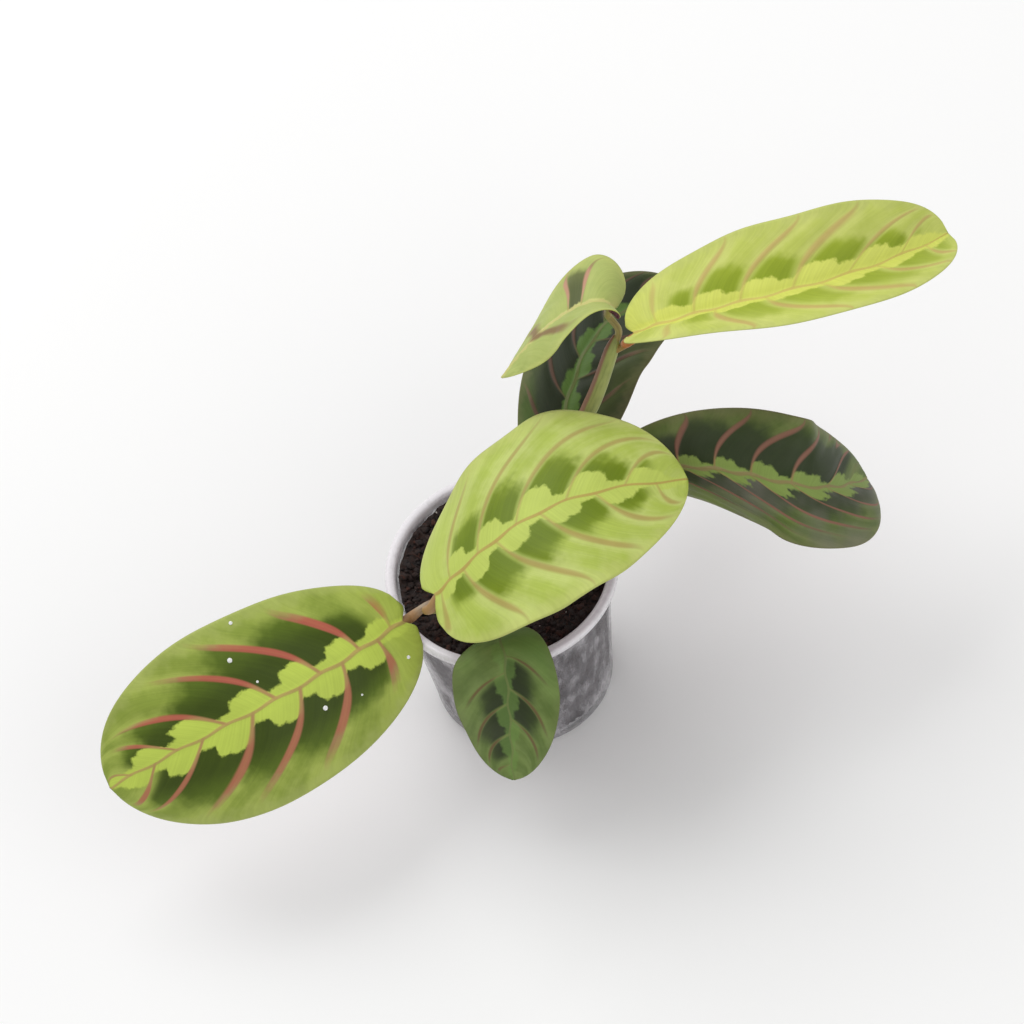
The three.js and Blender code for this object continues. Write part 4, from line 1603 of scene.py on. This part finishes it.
@dataclass
class SoilBed:
    """The peat in the pot: its body, its crumbs and its fibres."""

    # The unevenness of its top, from broad to fine: height, seed, waves, shortest and longest wave.
    UNEVENNESS = ((0.4, 5, 8, 9.0, 20.0), (0.28, 6, 24, 1.6, 5.0), (0.1, 7, 24, 0.7, 1.6))
    # The dents in its side, given in the same way.
    DENTS = (0.22, 8, 30, 1.5, 7.0)

    pot: Pot
    level: float = 46.5
    floor: float = 1.3
    gap: float = 0.3
    rings: int = 110
    side_rings: int = 70
    sides: int = 300
    crumbs: int = 1700
    crumb_rarity: float = 2.2  # the larger, the rarer the large crumbs
    crumb_lift: float = 0.45  # how far a crumb may stand out, as a share of its half width
    crumb_roughness: float = 0.22
    fibres: int = 110
    flecks: int = 40
    bank: float = 1.9  # how much higher the soil lies where it is heaped against the wall
    bank_start: float = 0.66  # share of the soil's radius
    bank_side: float = 2.6  # the bearing of the highest side, in radians
    bottom_radius: float = 21.0
    finish: PeatFinish = field(default_factory=PeatFinish)
    bark: PeatFinish = PeatFinish(colour("24140f"), colour("4f2c20"), colour("73503f"))
    fleck: PeatFinish = PeatFinish(colour("b9b2a6"), colour("dcd8cf"), colour("8f8577"))

    def height(self, x: Array, y: Array) -> Array:
        """The height of the soil's top.

        Args:
            x: places, in millimetres.
            y: places, in millimetres.

        Returns:
            The height at each place.
        """
        out = np.hypot(x, y) / self.pot.inside(self.level)
        bank = np.clip((out - self.bank_start) / (1 - self.bank_start), 0, 1) ** 1.5
        bank = self.bank * bank * (0.6 + 0.4 * np.cos(np.arctan2(y, x) - self.bank_side))
        broad, middling, fine = (most * ripples(x, y, *waves) for most, *waves in self.UNEVENNESS)
        return self.level + (broad + bank) + middling + fine

    @staticmethod
    def _ring(angle: Array, radius: float | Array, height: float) -> Array:
        """A level ring of points."""
        return np.stack([radius * np.cos(angle), radius * np.sin(angle), np.full_like(angle, height)], -1)

    def body(self, effects: Effects) -> bpy.types.Object:
        """Builds the plug of soil.

        Args:
            effects: the shared effects.

        Returns:
            The soil.
        """
        angle = np.linspace(0, 2 * math.pi, self.sides, endpoint=False)
        edge = self.pot.inside(self.level) - self.gap
        rings = [self._ring(angle, radius, self.floor) for radius in (PINHOLE, self.bottom_radius)]
        most, *waves = self.DENTS
        for h in np.linspace(self.floor + 1.4, self.level - 0.6, self.side_rings):
            dent = most * ripples(angle * edge, np.full_like(angle, h), *waves)
            radius = self.pot.inside(h) - self.gap - np.clip(0.2 + dent, 0, 1.2)
            rings.append(self._ring(angle, radius, h))
        for share in np.linspace(0.985, 0.0008, self.rings):
            x, y = edge * share * np.cos(angle), edge * share * np.sin(angle)
            rings.append(np.stack([x, y, self.height(x, y)], -1))
        _, faces = closed_rings(len(rings), self.sides)
        draft = Draft()
        draft.add(np.concatenate(rings), faces)
        return draft.build("soil_bed", [self.finish.material("peat_body", effects)])

    def _scattered(
        self, seed: int, count: int, radius: Pair, size: Pair, name: str, material: bpy.types.Material
    ) -> bpy.types.Object:
        """Scatters uneven lumps over the soil.

        Args:
            seed: the seed of the random draws.
            count: how many lumps.
            radius: how near to and far from the middle they lie, as shares of the soil's radius.
            size: the smallest and the largest half width, in millimetres.
            name: the piece's name.
            material: the material that they take.

        Returns:
            The lumps as one piece.
        """
        random = np.random.default_rng(seed)
        ball = bmesh.new()
        bmesh.ops.create_icosphere(ball, subdivisions=2, radius=1.0)
        shape = np.array([vertex.co for vertex in ball.verts])
        faces = [[vertex.index for vertex in face.verts] for face in ball.faces]
        ball.free()
        edge = self.pot.inside(self.level) - self.gap - 0.4
        draft = Draft()
        for _ in range(count):
            out = math.sqrt(random.uniform(radius[0] ** 2, radius[1] ** 2)) * edge
            heading = random.uniform(0, 2 * math.pi)
            half = size[0] + (size[1] - size[0]) * random.uniform() ** self.crumb_rarity
            out = min(out, edge - half)
            x, y = out * math.cos(heading), out * math.sin(heading)
            z = float(self.height(np.array(x), np.array(y))) + half * random.uniform(0.0, self.crumb_lift)
            stretch = half * random.uniform((0.6, 0.6, 0.45), (1.15, 1.15, 0.85))
            lumps = 1 + self.crumb_roughness * random.standard_normal(len(shape))[:, None]
            turn = np.array(Matrix.Rotation(random.uniform(0, 2 * math.pi), 3, "Z"))
            draft.add((shape * lumps * stretch) @ turn + [x, y, z], faces)
        return draft.build(name, [material])

    def _fibres(self, material: bpy.types.Material) -> bpy.types.Object:
        """Lays fine curved fibres over the soil.

        Args:
            material: the material that they take.

        Returns:
            The fibres as one piece.
        """
        steps = 6
        random = np.random.default_rng(23)
        edge = self.pot.inside(self.level) - self.gap - 1.0
        draft = Draft()
        for _ in range(self.fibres):
            out, heading = math.sqrt(random.uniform()) * edge, random.uniform(0, 2 * math.pi)
            bearing, bend = random.uniform(0, 2 * math.pi), random.uniform(-1.2, 1.2)
            length = random.uniform(1.5, 6.0)
            points = [np.array([out * math.cos(heading), out * math.sin(heading)])]
            for step in range(steps):
                way = bearing + bend * step / steps
                points.append(points[-1] + length / steps * np.array([math.cos(way), math.sin(way)]))
            flat = np.array(points)
            far = np.maximum(np.linalg.norm(flat, axis=1, keepdims=True) / edge, 1.0)
            flat = flat / far
            lift = 0.25 + 0.5 * np.sin(np.linspace(0, math.pi, steps + 1)) * random.uniform()
            path = np.column_stack([flat, self.height(flat[:, 0], flat[:, 1]) + lift])
            add_tube(draft, path, np.full(steps + 1, random.uniform(0.06, 0.16)), 6, (0, 0, 1))
        return draft.build("soil_fibres", [material])

    def build(self, effects: Effects) -> None:
        """Builds the soil with its crumbs, fibres and pale flecks.

        Args:
            effects: the shared effects.
        """
        install(self.body(effects), Slot.PEAT, "soil")
        dark = self.finish.material("peat_crumb", effects)
        warm = self.bark.material("bark_crumb", effects)
        pale = self.fleck.material("pale_fleck", effects)
        install(self._scattered(11, self.crumbs, (0, 1), (0.25, 1.15), "soil_crumbs", dark), Slot.PEAT)
        install(self._scattered(12, self.crumbs // 6, (0, 1), (0.3, 1.2), "bark_crumbs", warm), Slot.PEAT)
        install(self._scattered(13, self.flecks, (0.5, 1), (0.2, 0.55), "pale_flecks", pale), Slot.PEAT)
        install(self._fibres(warm), Slot.PEAT)


@dataclass
class WaterDrops:
    """Small drops of water on a leaf: each one's vein line, place from edge to edge and radius."""

    leaf: Leaf
    places: tuple[tuple[float, float, float], ...] = (
        (2.74, 0.57, 0.65),
        (1.68, 0.91, 0.5),
        (2.31, -0.32, 0.65),
        (0.39, -0.57, 0.5),
        (3.28, 0.25, 0.35),
        (1.45, -0.44, 0.3),
    )
    flatness: float = 0.6
    rings: int = 10
    sides: int = 24

    def build(self) -> bpy.types.Object:
        """Builds the drops.

        Returns:
            The drops as one piece.
        """
        tilt = np.linspace(0.02, math.pi / 2, self.rings)[:, None]
        angle = np.linspace(0, 2 * math.pi, self.sides, endpoint=False)[None, :]
        dome = np.stack(
            [np.sin(tilt) * np.cos(angle), np.sin(tilt) * np.sin(angle), np.cos(tilt) + 0 * angle], -1
        )
        _, faces = closed_rings(self.rings, self.sides)
        draft = Draft()
        for line, v, radius in self.places:
            points, normals, _ = self.leaf.form.surface(np.array([line]), np.array([v]))
            across, second = sweep_frames(np.stack([points[0], points[0] + normals[0]]), (1, 0, 0))
            basis = np.stack([across[0], second[0], normals[0] * self.flatness])
            base = points[0] + normals[0] * self.leaf.relief.thickness / 2
            draft.add((dome * radius) @ basis + base, faces)
        return draft.build("water_drops", [WaterFinish().material("water")])


# ---------------------------------------------------------------- the plant's own leaves


# The usual pattern is the margined one. The others start from it, or from the pale or the dark one.
MARGINED = LeafPattern()
PALE = LeafPattern(
    veins=6, centre=0.21, notch=0.05, tooth=0.03, tip_taper=0.1, left_first=1.1, left_last=5.3,
    left_reach=0.5, left_taper=0.25, right_first=1.35, right_last=5.8, right_reach=0.55,
    right_taper=0.3, patch_feather=0.1, patch_border=1.8, patch_slant=0.18, vein_width=1.3,
    vein_edge=0.4, vein_strength=0.75, vein_tail=0.45, left_fading=0.3, margin=colour("a7b850"),
    streak=colour("bcc871"), rim=colour("bcc370"), patch=colour("76891c"), heart=colour("667a14"),
    pale_centre=colour("b5c45c"), vein_root=colour("ad9a58"), vein=colour("a58d50"),
    vein_end=colour("a89c5c"), midrib=colour("ae9450"),
)
YOUNG = replace(
    PALE, veins=7, centre=0.25, notch=0.14, left_first=1.4, left_last=6.2, left_reach=0.58,
    left_taper=0.3, right_first=2.4, right_last=7.4, right_reach=0.7, right_taper=0.0,
    right_depth=0.55, patch_border=2.0, vein_width=1.1, vein_strength=0.7, margin=colour("b9c45c"),
    streak=colour("c9d073"), patch=colour("98a92f"), heart=colour("8a9c27"),
    pale_centre=colour("d2d868"), vein_root=colour("c8b868"), vein=colour("bf9c64"),
    vein_end=colour("bba263"), midrib=colour("c8b562"),
)
NEWEST = replace(
    PALE, veins=10, stagger=0, centre=0.06, notch=0.04, tooth=0.01, left_first=12.0, left_last=13.0,
    left_reach=0.3, left_depth=0.0, right_first=2.95, right_last=4.0, right_reach=0.85,
    right_taper=0.0, right_depth=0.95, patch_border=0.4, patch_slant=0.0, vein_width=1.1,
    vein_edge=0.25, vein_strength=0.85, vein_tail=0.2, banding=0.0, stripe=6.8, stripe_depth=0.9,
    margin=colour("a4b163"), streak=colour("aeb86a"), patch=colour("656b3c"),
    heart=colour("555c36"), pale_centre=colour("c8c87c"), vein=colour("c08a78"),
    vein_end=colour("866a4c"), midrib=colour("c4bd78"),
)
# The dark patterns lay a painted sheen of dull grey over the leaf in clouds.
DARK = LeafPattern(
    veins=8, stagger=0.0, centre=0.17, notch=0.04, tooth=0.04, tip_taper=0.0, left_first=1.0,
    left_last=6.5, left_reach=0.72, left_taper=0.0, right_first=1.0, right_last=7.6,
    right_reach=0.45, right_taper=0.0, right_depth=0.85, patch_feather=0.2, patch_border=0.3,
    vein_width=1.0, vein_strength=0.85, vein_tail=0.3, left_fading=0.1, edge_light=0.35,
    bloom_depth=0.5, margin=colour("56682c"), streak=colour("6e7a42"), rim=colour("7a7750"),
    patch=colour("34421e"), heart=colour("273416"), pale_centre=colour("7f934a"),
    vein_root=colour("96784f"), vein=colour("8a5c4e"), vein_end=colour("735c48"),
    midrib=colour("8a7a50"), bloom=colour("77726a"),
)
SHADED = replace(
    DARK, veins=6, stagger=0.5, left_last=5.6, right_last=5.9, bloom_depth=0.1,
    margin=colour("3c4722"), streak=colour("47532a"), patch=colour("2b351b"),
    heart=colour("232c18"), pale_centre=colour("506c2e"), vein_root=colour("5a5a34"),
    vein=colour("573d32"), midrib=colour("62693c"),
)
SMALL = replace(
    DARK, veins=5, stagger=0.5, centre=0.2, notch=0.07, tooth=0.03, left_first=1.05, left_last=3.0,
    left_reach=0.55, right_first=2.1, right_last=4.7, right_reach=0.6, right_taper=0.2,
    right_depth=0.95, patch_feather=0.22, patch_border=0.8, vein_width=0.7, vein_strength=0.8,
    midrib_width=0.6, edge_light=0.3, bloom_depth=0.05, centre_depth=0.55, margin=colour("5c7034"),
    streak=colour("76894a"), rim=colour("6c7645"), patch=colour("37441f"), heart=colour("2b3519"),
    pale_centre=colour("6c8c43"), vein_root=colour("7d7d4a"), vein=colour("6a4c34"),
    vein_end=colour("66603c"), midrib=colour("6f7c45"),
)


def leaves() -> list[Leaf]:
    """The seven leaves with their forms, stalks and finishes.

    Returns:
        The leaves, in the order of their letters.
    """
    return [
        Leaf(
            "a",
            BladeForm(
                midrib=((-22.3, -21, 56.5), (-43.3, -49, 66.5), (-66.8, -59, 64), (-93.7, -64.5, 46)),
                width=(26, 24.5),
                fold=(-12, 6),
                tip_fold=(-10, 13),
                curl=(-25, -14),
                roll=(24, 34),
                widest=(0.54, 0.54),
                fullness=(2.1, 2),
                heel=0.15,
                lobe=3,
                wave=(0.7, 3, 0.1),
                veins=7,
                crowding=0.85,
                sweep=1,
                valley=0.5,
                lean=(0.55, 0.25),
                tip_lean=(-0.85, -1.3),
            ),
            StalkForm((1.6, 1.1, 1.3), ((-9, -7, 44), (-12, -10.5, 51), (-17, -15.5, 55))),
            LeafFinish(MARGINED),
            Slot.MARGINED,
            stalk_finish=StalkFinish(colour("a8957c"), colour("84654a"), joint=colour("a27c50")),
        ),
        Leaf(
            "b",
            BladeForm(
                midrib=((-11, -25.5, 75.5), (9.1, -12.8, 91.5), (20.8, -5.9, 94.6), (50.5, 4.3, 82.6)),
                width=(30.1, 25.8),
                fold=(-15, 1),
                tip_fold=(4, 11),
                curl=(-19, -16),
                roll=(1, -12),
                widest=(0.56, 0.48),
                fullness=(2.4, 1.65),
                heel=0.27,
                lobe=3.3,
                wave=(0.9, 3, 0.35),
                veins=6,
                crowding=0.7,
                sweep=1.1,
                valley=0.5,
                lean=(-0.3, 0.5),
                tip_lean=(-0.4, 0.2),
            ),
            StalkForm((1.7, 1, 1.3), ((-6, -11, 44), (-9, -17, 56), (-14, -26, 69.5))),
            LeafFinish(PALE),
            Slot.PALE,
        ),
        Leaf(
            "c",
            BladeForm(
                midrib=((2.7, -24.8, 57), (6, -34.4, 62), (5.2, -39.1, 48), (4.6, -48.7, 26)),
                width=(13, 14.5),
                fold=(6, 3),
                tip_fold=(6, 6),
                curl=(-20, -21),
                roll=(-4, 1),
                widest=(0.4, 0.4),
                fullness=(2.1, 1.8),
                heel=0.2,
                lobe=1.5,
                wave=(0.5, 2.5, 0.6),
                veins=5,
                crowding=0.9,
                sweep=0.9,
                valley=0.35,
            ),
            StalkForm((1.4, 0.9, 1.1), ((1, -13, 44), (1.4, -17, 51), (2.2, -22, 56))),
            LeafFinish(SMALL),
            Slot.DARK,
        ),
        Leaf(
            "d",
            BladeForm(
                midrib=((30.3, 14.8, 70.8), (65.6, 16.8, 78.1), (78.4, -12.1, 94.1), (92.5, 21.6, 58.6)),
                width=(16.7, 15.9),
                fold=(-11, -32),
                tip_fold=(35, 6),
                curl=(-20, -48),
                roll=(-39, -24),
                widest=(0.54, 0.8),
                fullness=(2, 2.3),
                heel=0.16,
                lobe=2,
                wave=(0.5, 3, 0.8),
                veins=8,
                crowding=0.9,
                stagger=0,
                sweep=0.6,
                valley=0.45,
                lean=(1.0, -2.2),
                tip_lean=(-1.3, -2.4),
                lean_turn=(0.63, 0.76),
            ),
            StalkForm((1.5, 1, 1), ((9, -4, 44), (13, 0, 53), (21, 8, 63))),
            LeafFinish(DARK),
            Slot.DARK,
        ),
        Leaf(
            "e",
            BladeForm(
                midrib=((31.1, 41, 104), (29.7, 41.5, 113.5), (13.2, 39.8, 103), (4, 24.5, 98)),
                width=(9.8, 15.3),
                fold=(47, 15),
                tip_fold=(0, -66),
                curl=(-10, -12),
                roll=(0, 0),
                widest=(0.54, 0.15),
                fullness=(2, 1.35),
                heel=0.15,
                lobe=1,
                wave=(0.4, 2, 0.2),
                veins=10,
                crowding=0.9,
                sweep=0.8,
                valley=0.12,
                stagger=0,
                lean=(6, 2.6),
                tip_lean=(6, 2.6),
            ),
            StalkForm((1, 0.9, 0.9), fork=Fork.TIP, joint_length=3.0, joint_swelling=0.1),
            LeafFinish(NEWEST, relief=0.2),
            Slot.PALE,
            relief=Relief(vein=0.05),
            stalk_finish=StalkFinish(colour("a9a05a"), colour("94834e"), joint=colour("a79e58")),
        ),
        Leaf(
            "f",
            BladeForm(
                midrib=((11.6, 20.6, 62), (19.5, 48, 72), (16.5, 58.3, 78), (43.5, 73.3, 70)),
                width=(14, 16),
                fold=(7, 6),
                tip_fold=(4, 6),
                curl=(-16, -16),
                roll=(-9, -2),
                widest=(0.55, 0.55),
                fullness=(2.1, 2),
                heel=0.18,
                lobe=2,
                wave=(0.7, 3, 0.5),
                veins=6,
                crowding=0.9,
                sweep=0.8,
                valley=0.4,
            ),
            StalkForm((1.4, 1, 1.2), ((-1, 8, 44), (2.5, 11.5, 52), (7, 16, 58.5))),
            LeafFinish(SHADED),
            Slot.DARK,
        ),
        Leaf(
            "g",
            BladeForm(
                midrib=((37.4, 32.2, 106), (63, 34.7, 118), (86.4, 33.1, 121), (113.7, 62.7, 106)),
                width=(18, 15),
                fold=(20, 40),
                tip_fold=(26, 35),
                curl=(-8, -10),
                roll=(0, -25),
                widest=(0.53, 0.53),
                fullness=(2.2, 2.1),
                heel=0.16,
                lobe=2,
                wave=(0.6, 3, 0.15),
                veins=7,
                crowding=0.75,
                sweep=0.8,
                valley=0.45,
                lean=(0.45, 0.8),
                tip_lean=(-0.7, 0.3),
            ),
            StalkForm((1, 1, 1.2), fork=Fork.SIDE, joint_length=5.0),
            LeafFinish(YOUNG),
            Slot.PALE,
            stalk_finish=StalkFinish(colour("a38a48"), colour("96713c"), joint=colour("b5703a")),
        ),
    ]


# ---------------------------------------------------------------- the studio


@dataclass
class Studio:
    """The floor, the light and the camera."""

    camera_place: Point = (176.5, -628.8, 1005.0)  # in millimetres
    camera_pitch: float = 48.7  # degrees below the level
    camera_roll: float = -0.3
    photo_side: float = 1024.0  # side of the photograph, in its pixels
    photo_focal: float = 1954.0  # focal length, in its pixels
    plant_centre: Pair = (214.0, 762.0)  # in the photograph's pixels
    view_side: float = 440.0  # side of the view, in the photograph's pixels
    sensor: float = 36.0
    floor_reach: float = 4.0  # in metres, from the plant to the floor's edges
    sky_strength: float = 0.62
    lit_place: Point = (0, 0, 0.05)  # in metres
    lamps: tuple[tuple[str, Point, float, float], ...] = (
        ("key_lamp", (-0.55, 0.5, 1.2), 1.1, 10.5),
        ("fill_lamp", (0.9, -0.7, 0.9), 1.2, 4.0),
    )

    def camera(self) -> None:
        """Makes the camera, at the photograph's place, turned towards the plant."""
        pitch, roll = math.radians(self.camera_pitch), math.radians(self.camera_roll)
        forward = Vector((0, math.cos(pitch), -math.sin(pitch)))
        upright = Vector((0, math.sin(pitch), math.cos(pitch)))
        right = Vector((1, 0, 0)) * math.cos(roll) + upright * math.sin(roll)
        up = upright * math.cos(roll) - Vector((1, 0, 0)) * math.sin(roll)
        middle = self.photo_side / 2
        x, y = ((p - middle) / self.photo_focal for p in self.plant_centre)
        aim = (forward + right * x - up * y).normalized()
        turn = forward.rotation_difference(aim)
        right, up = turn @ right, turn @ up
        data = bpy.data.cameras.new("camera")
        data.sensor_width = self.sensor
        data.lens = self.sensor * self.photo_focal / self.view_side
        camera = new_object("camera", data)
        turned = Matrix((right, up, -aim)).transposed().to_4x4()
        camera.matrix_world = Matrix.Translation(Vector(self.camera_place) * MM) @ turned
        bpy.context.scene.camera = camera

    def floor(self) -> None:
        """Lays the pale floor."""
        mesh = bpy.data.meshes.new("floor")
        far = self.floor_reach
        corners = [(-far, -far, 0), (far, -far, 0), (far, far, 0), (-far, far, 0)]
        mesh.from_pydata(corners, [], [(0, 1, 2, 3)])
        material, graph, shader = new_material("pale_floor")
        shade = graph.noise(graph.millimetres(), 0.004, 2.0)
        tone = graph.mix(shade, colour("f1f1f1"), colour("f4f4f3"))
        graph.feed(shader.inputs["Base Color"], tone)
        shader.inputs["Roughness"].default_value = 0.9
        mesh.materials.append(material)
        floor = new_object("floor", mesh)

    def lamp(self, name: str, place: Point, size: float, power: float) -> None:
        """Hangs a soft square lamp that shines on the plant.

        Args:
            name: the lamp's name.
            place: where it hangs, in metres.
            size: the length of its side, in metres.
            power: its power, in watts.
        """
        data = bpy.data.lights.new(name, "AREA")
        data.size = size
        data.energy = power
        lamp = new_object(name, data)
        lamp.location = place
        way = Vector(self.lit_place) - Vector(place)
        lamp.rotation_euler = way.to_track_quat("-Z", "Y").to_euler()

    def build(self) -> None:
        """Sets up the studio."""
        world = bpy.data.worlds.new("studio")
        world.use_nodes = True
        sky = world.node_tree.nodes["Background"]
        sky.inputs["Color"].default_value = (1.0, 1.0, 1.0, 1.0)
        sky.inputs["Strength"].default_value = self.sky_strength
        bpy.context.scene.world = world
        bpy.context.scene.view_settings.view_transform = "Standard"
        for lamp in self.lamps:
            self.lamp(*lamp)
        self.floor()
        self.camera()


def main() -> None:
    """Builds the plant and its studio."""
    logging.basicConfig(level=logging.INFO, format="%(name)s: %(message)s")
    effects = Effects()
    Studio().build()
    pot = Pot()
    install(pot.build(effects), Slot.PLASTIC, "pot")
    SoilBed(pot).build(effects)
    shoot = Shoot()
    install(shoot.build(), Slot.STALK, "shoot_stem")
    grown = leaves()
    for leaf in grown:
        install(leaf.blade(effects), leaf.slot, f"leaf_{leaf.letter}")
        install(leaf.petiole(shoot), Slot.STALK, f"stalk_{leaf.letter}")
    install(WaterDrops(grown[0]).build(), Slot.PLASTIC)


if __name__ == "__main__":
    main()
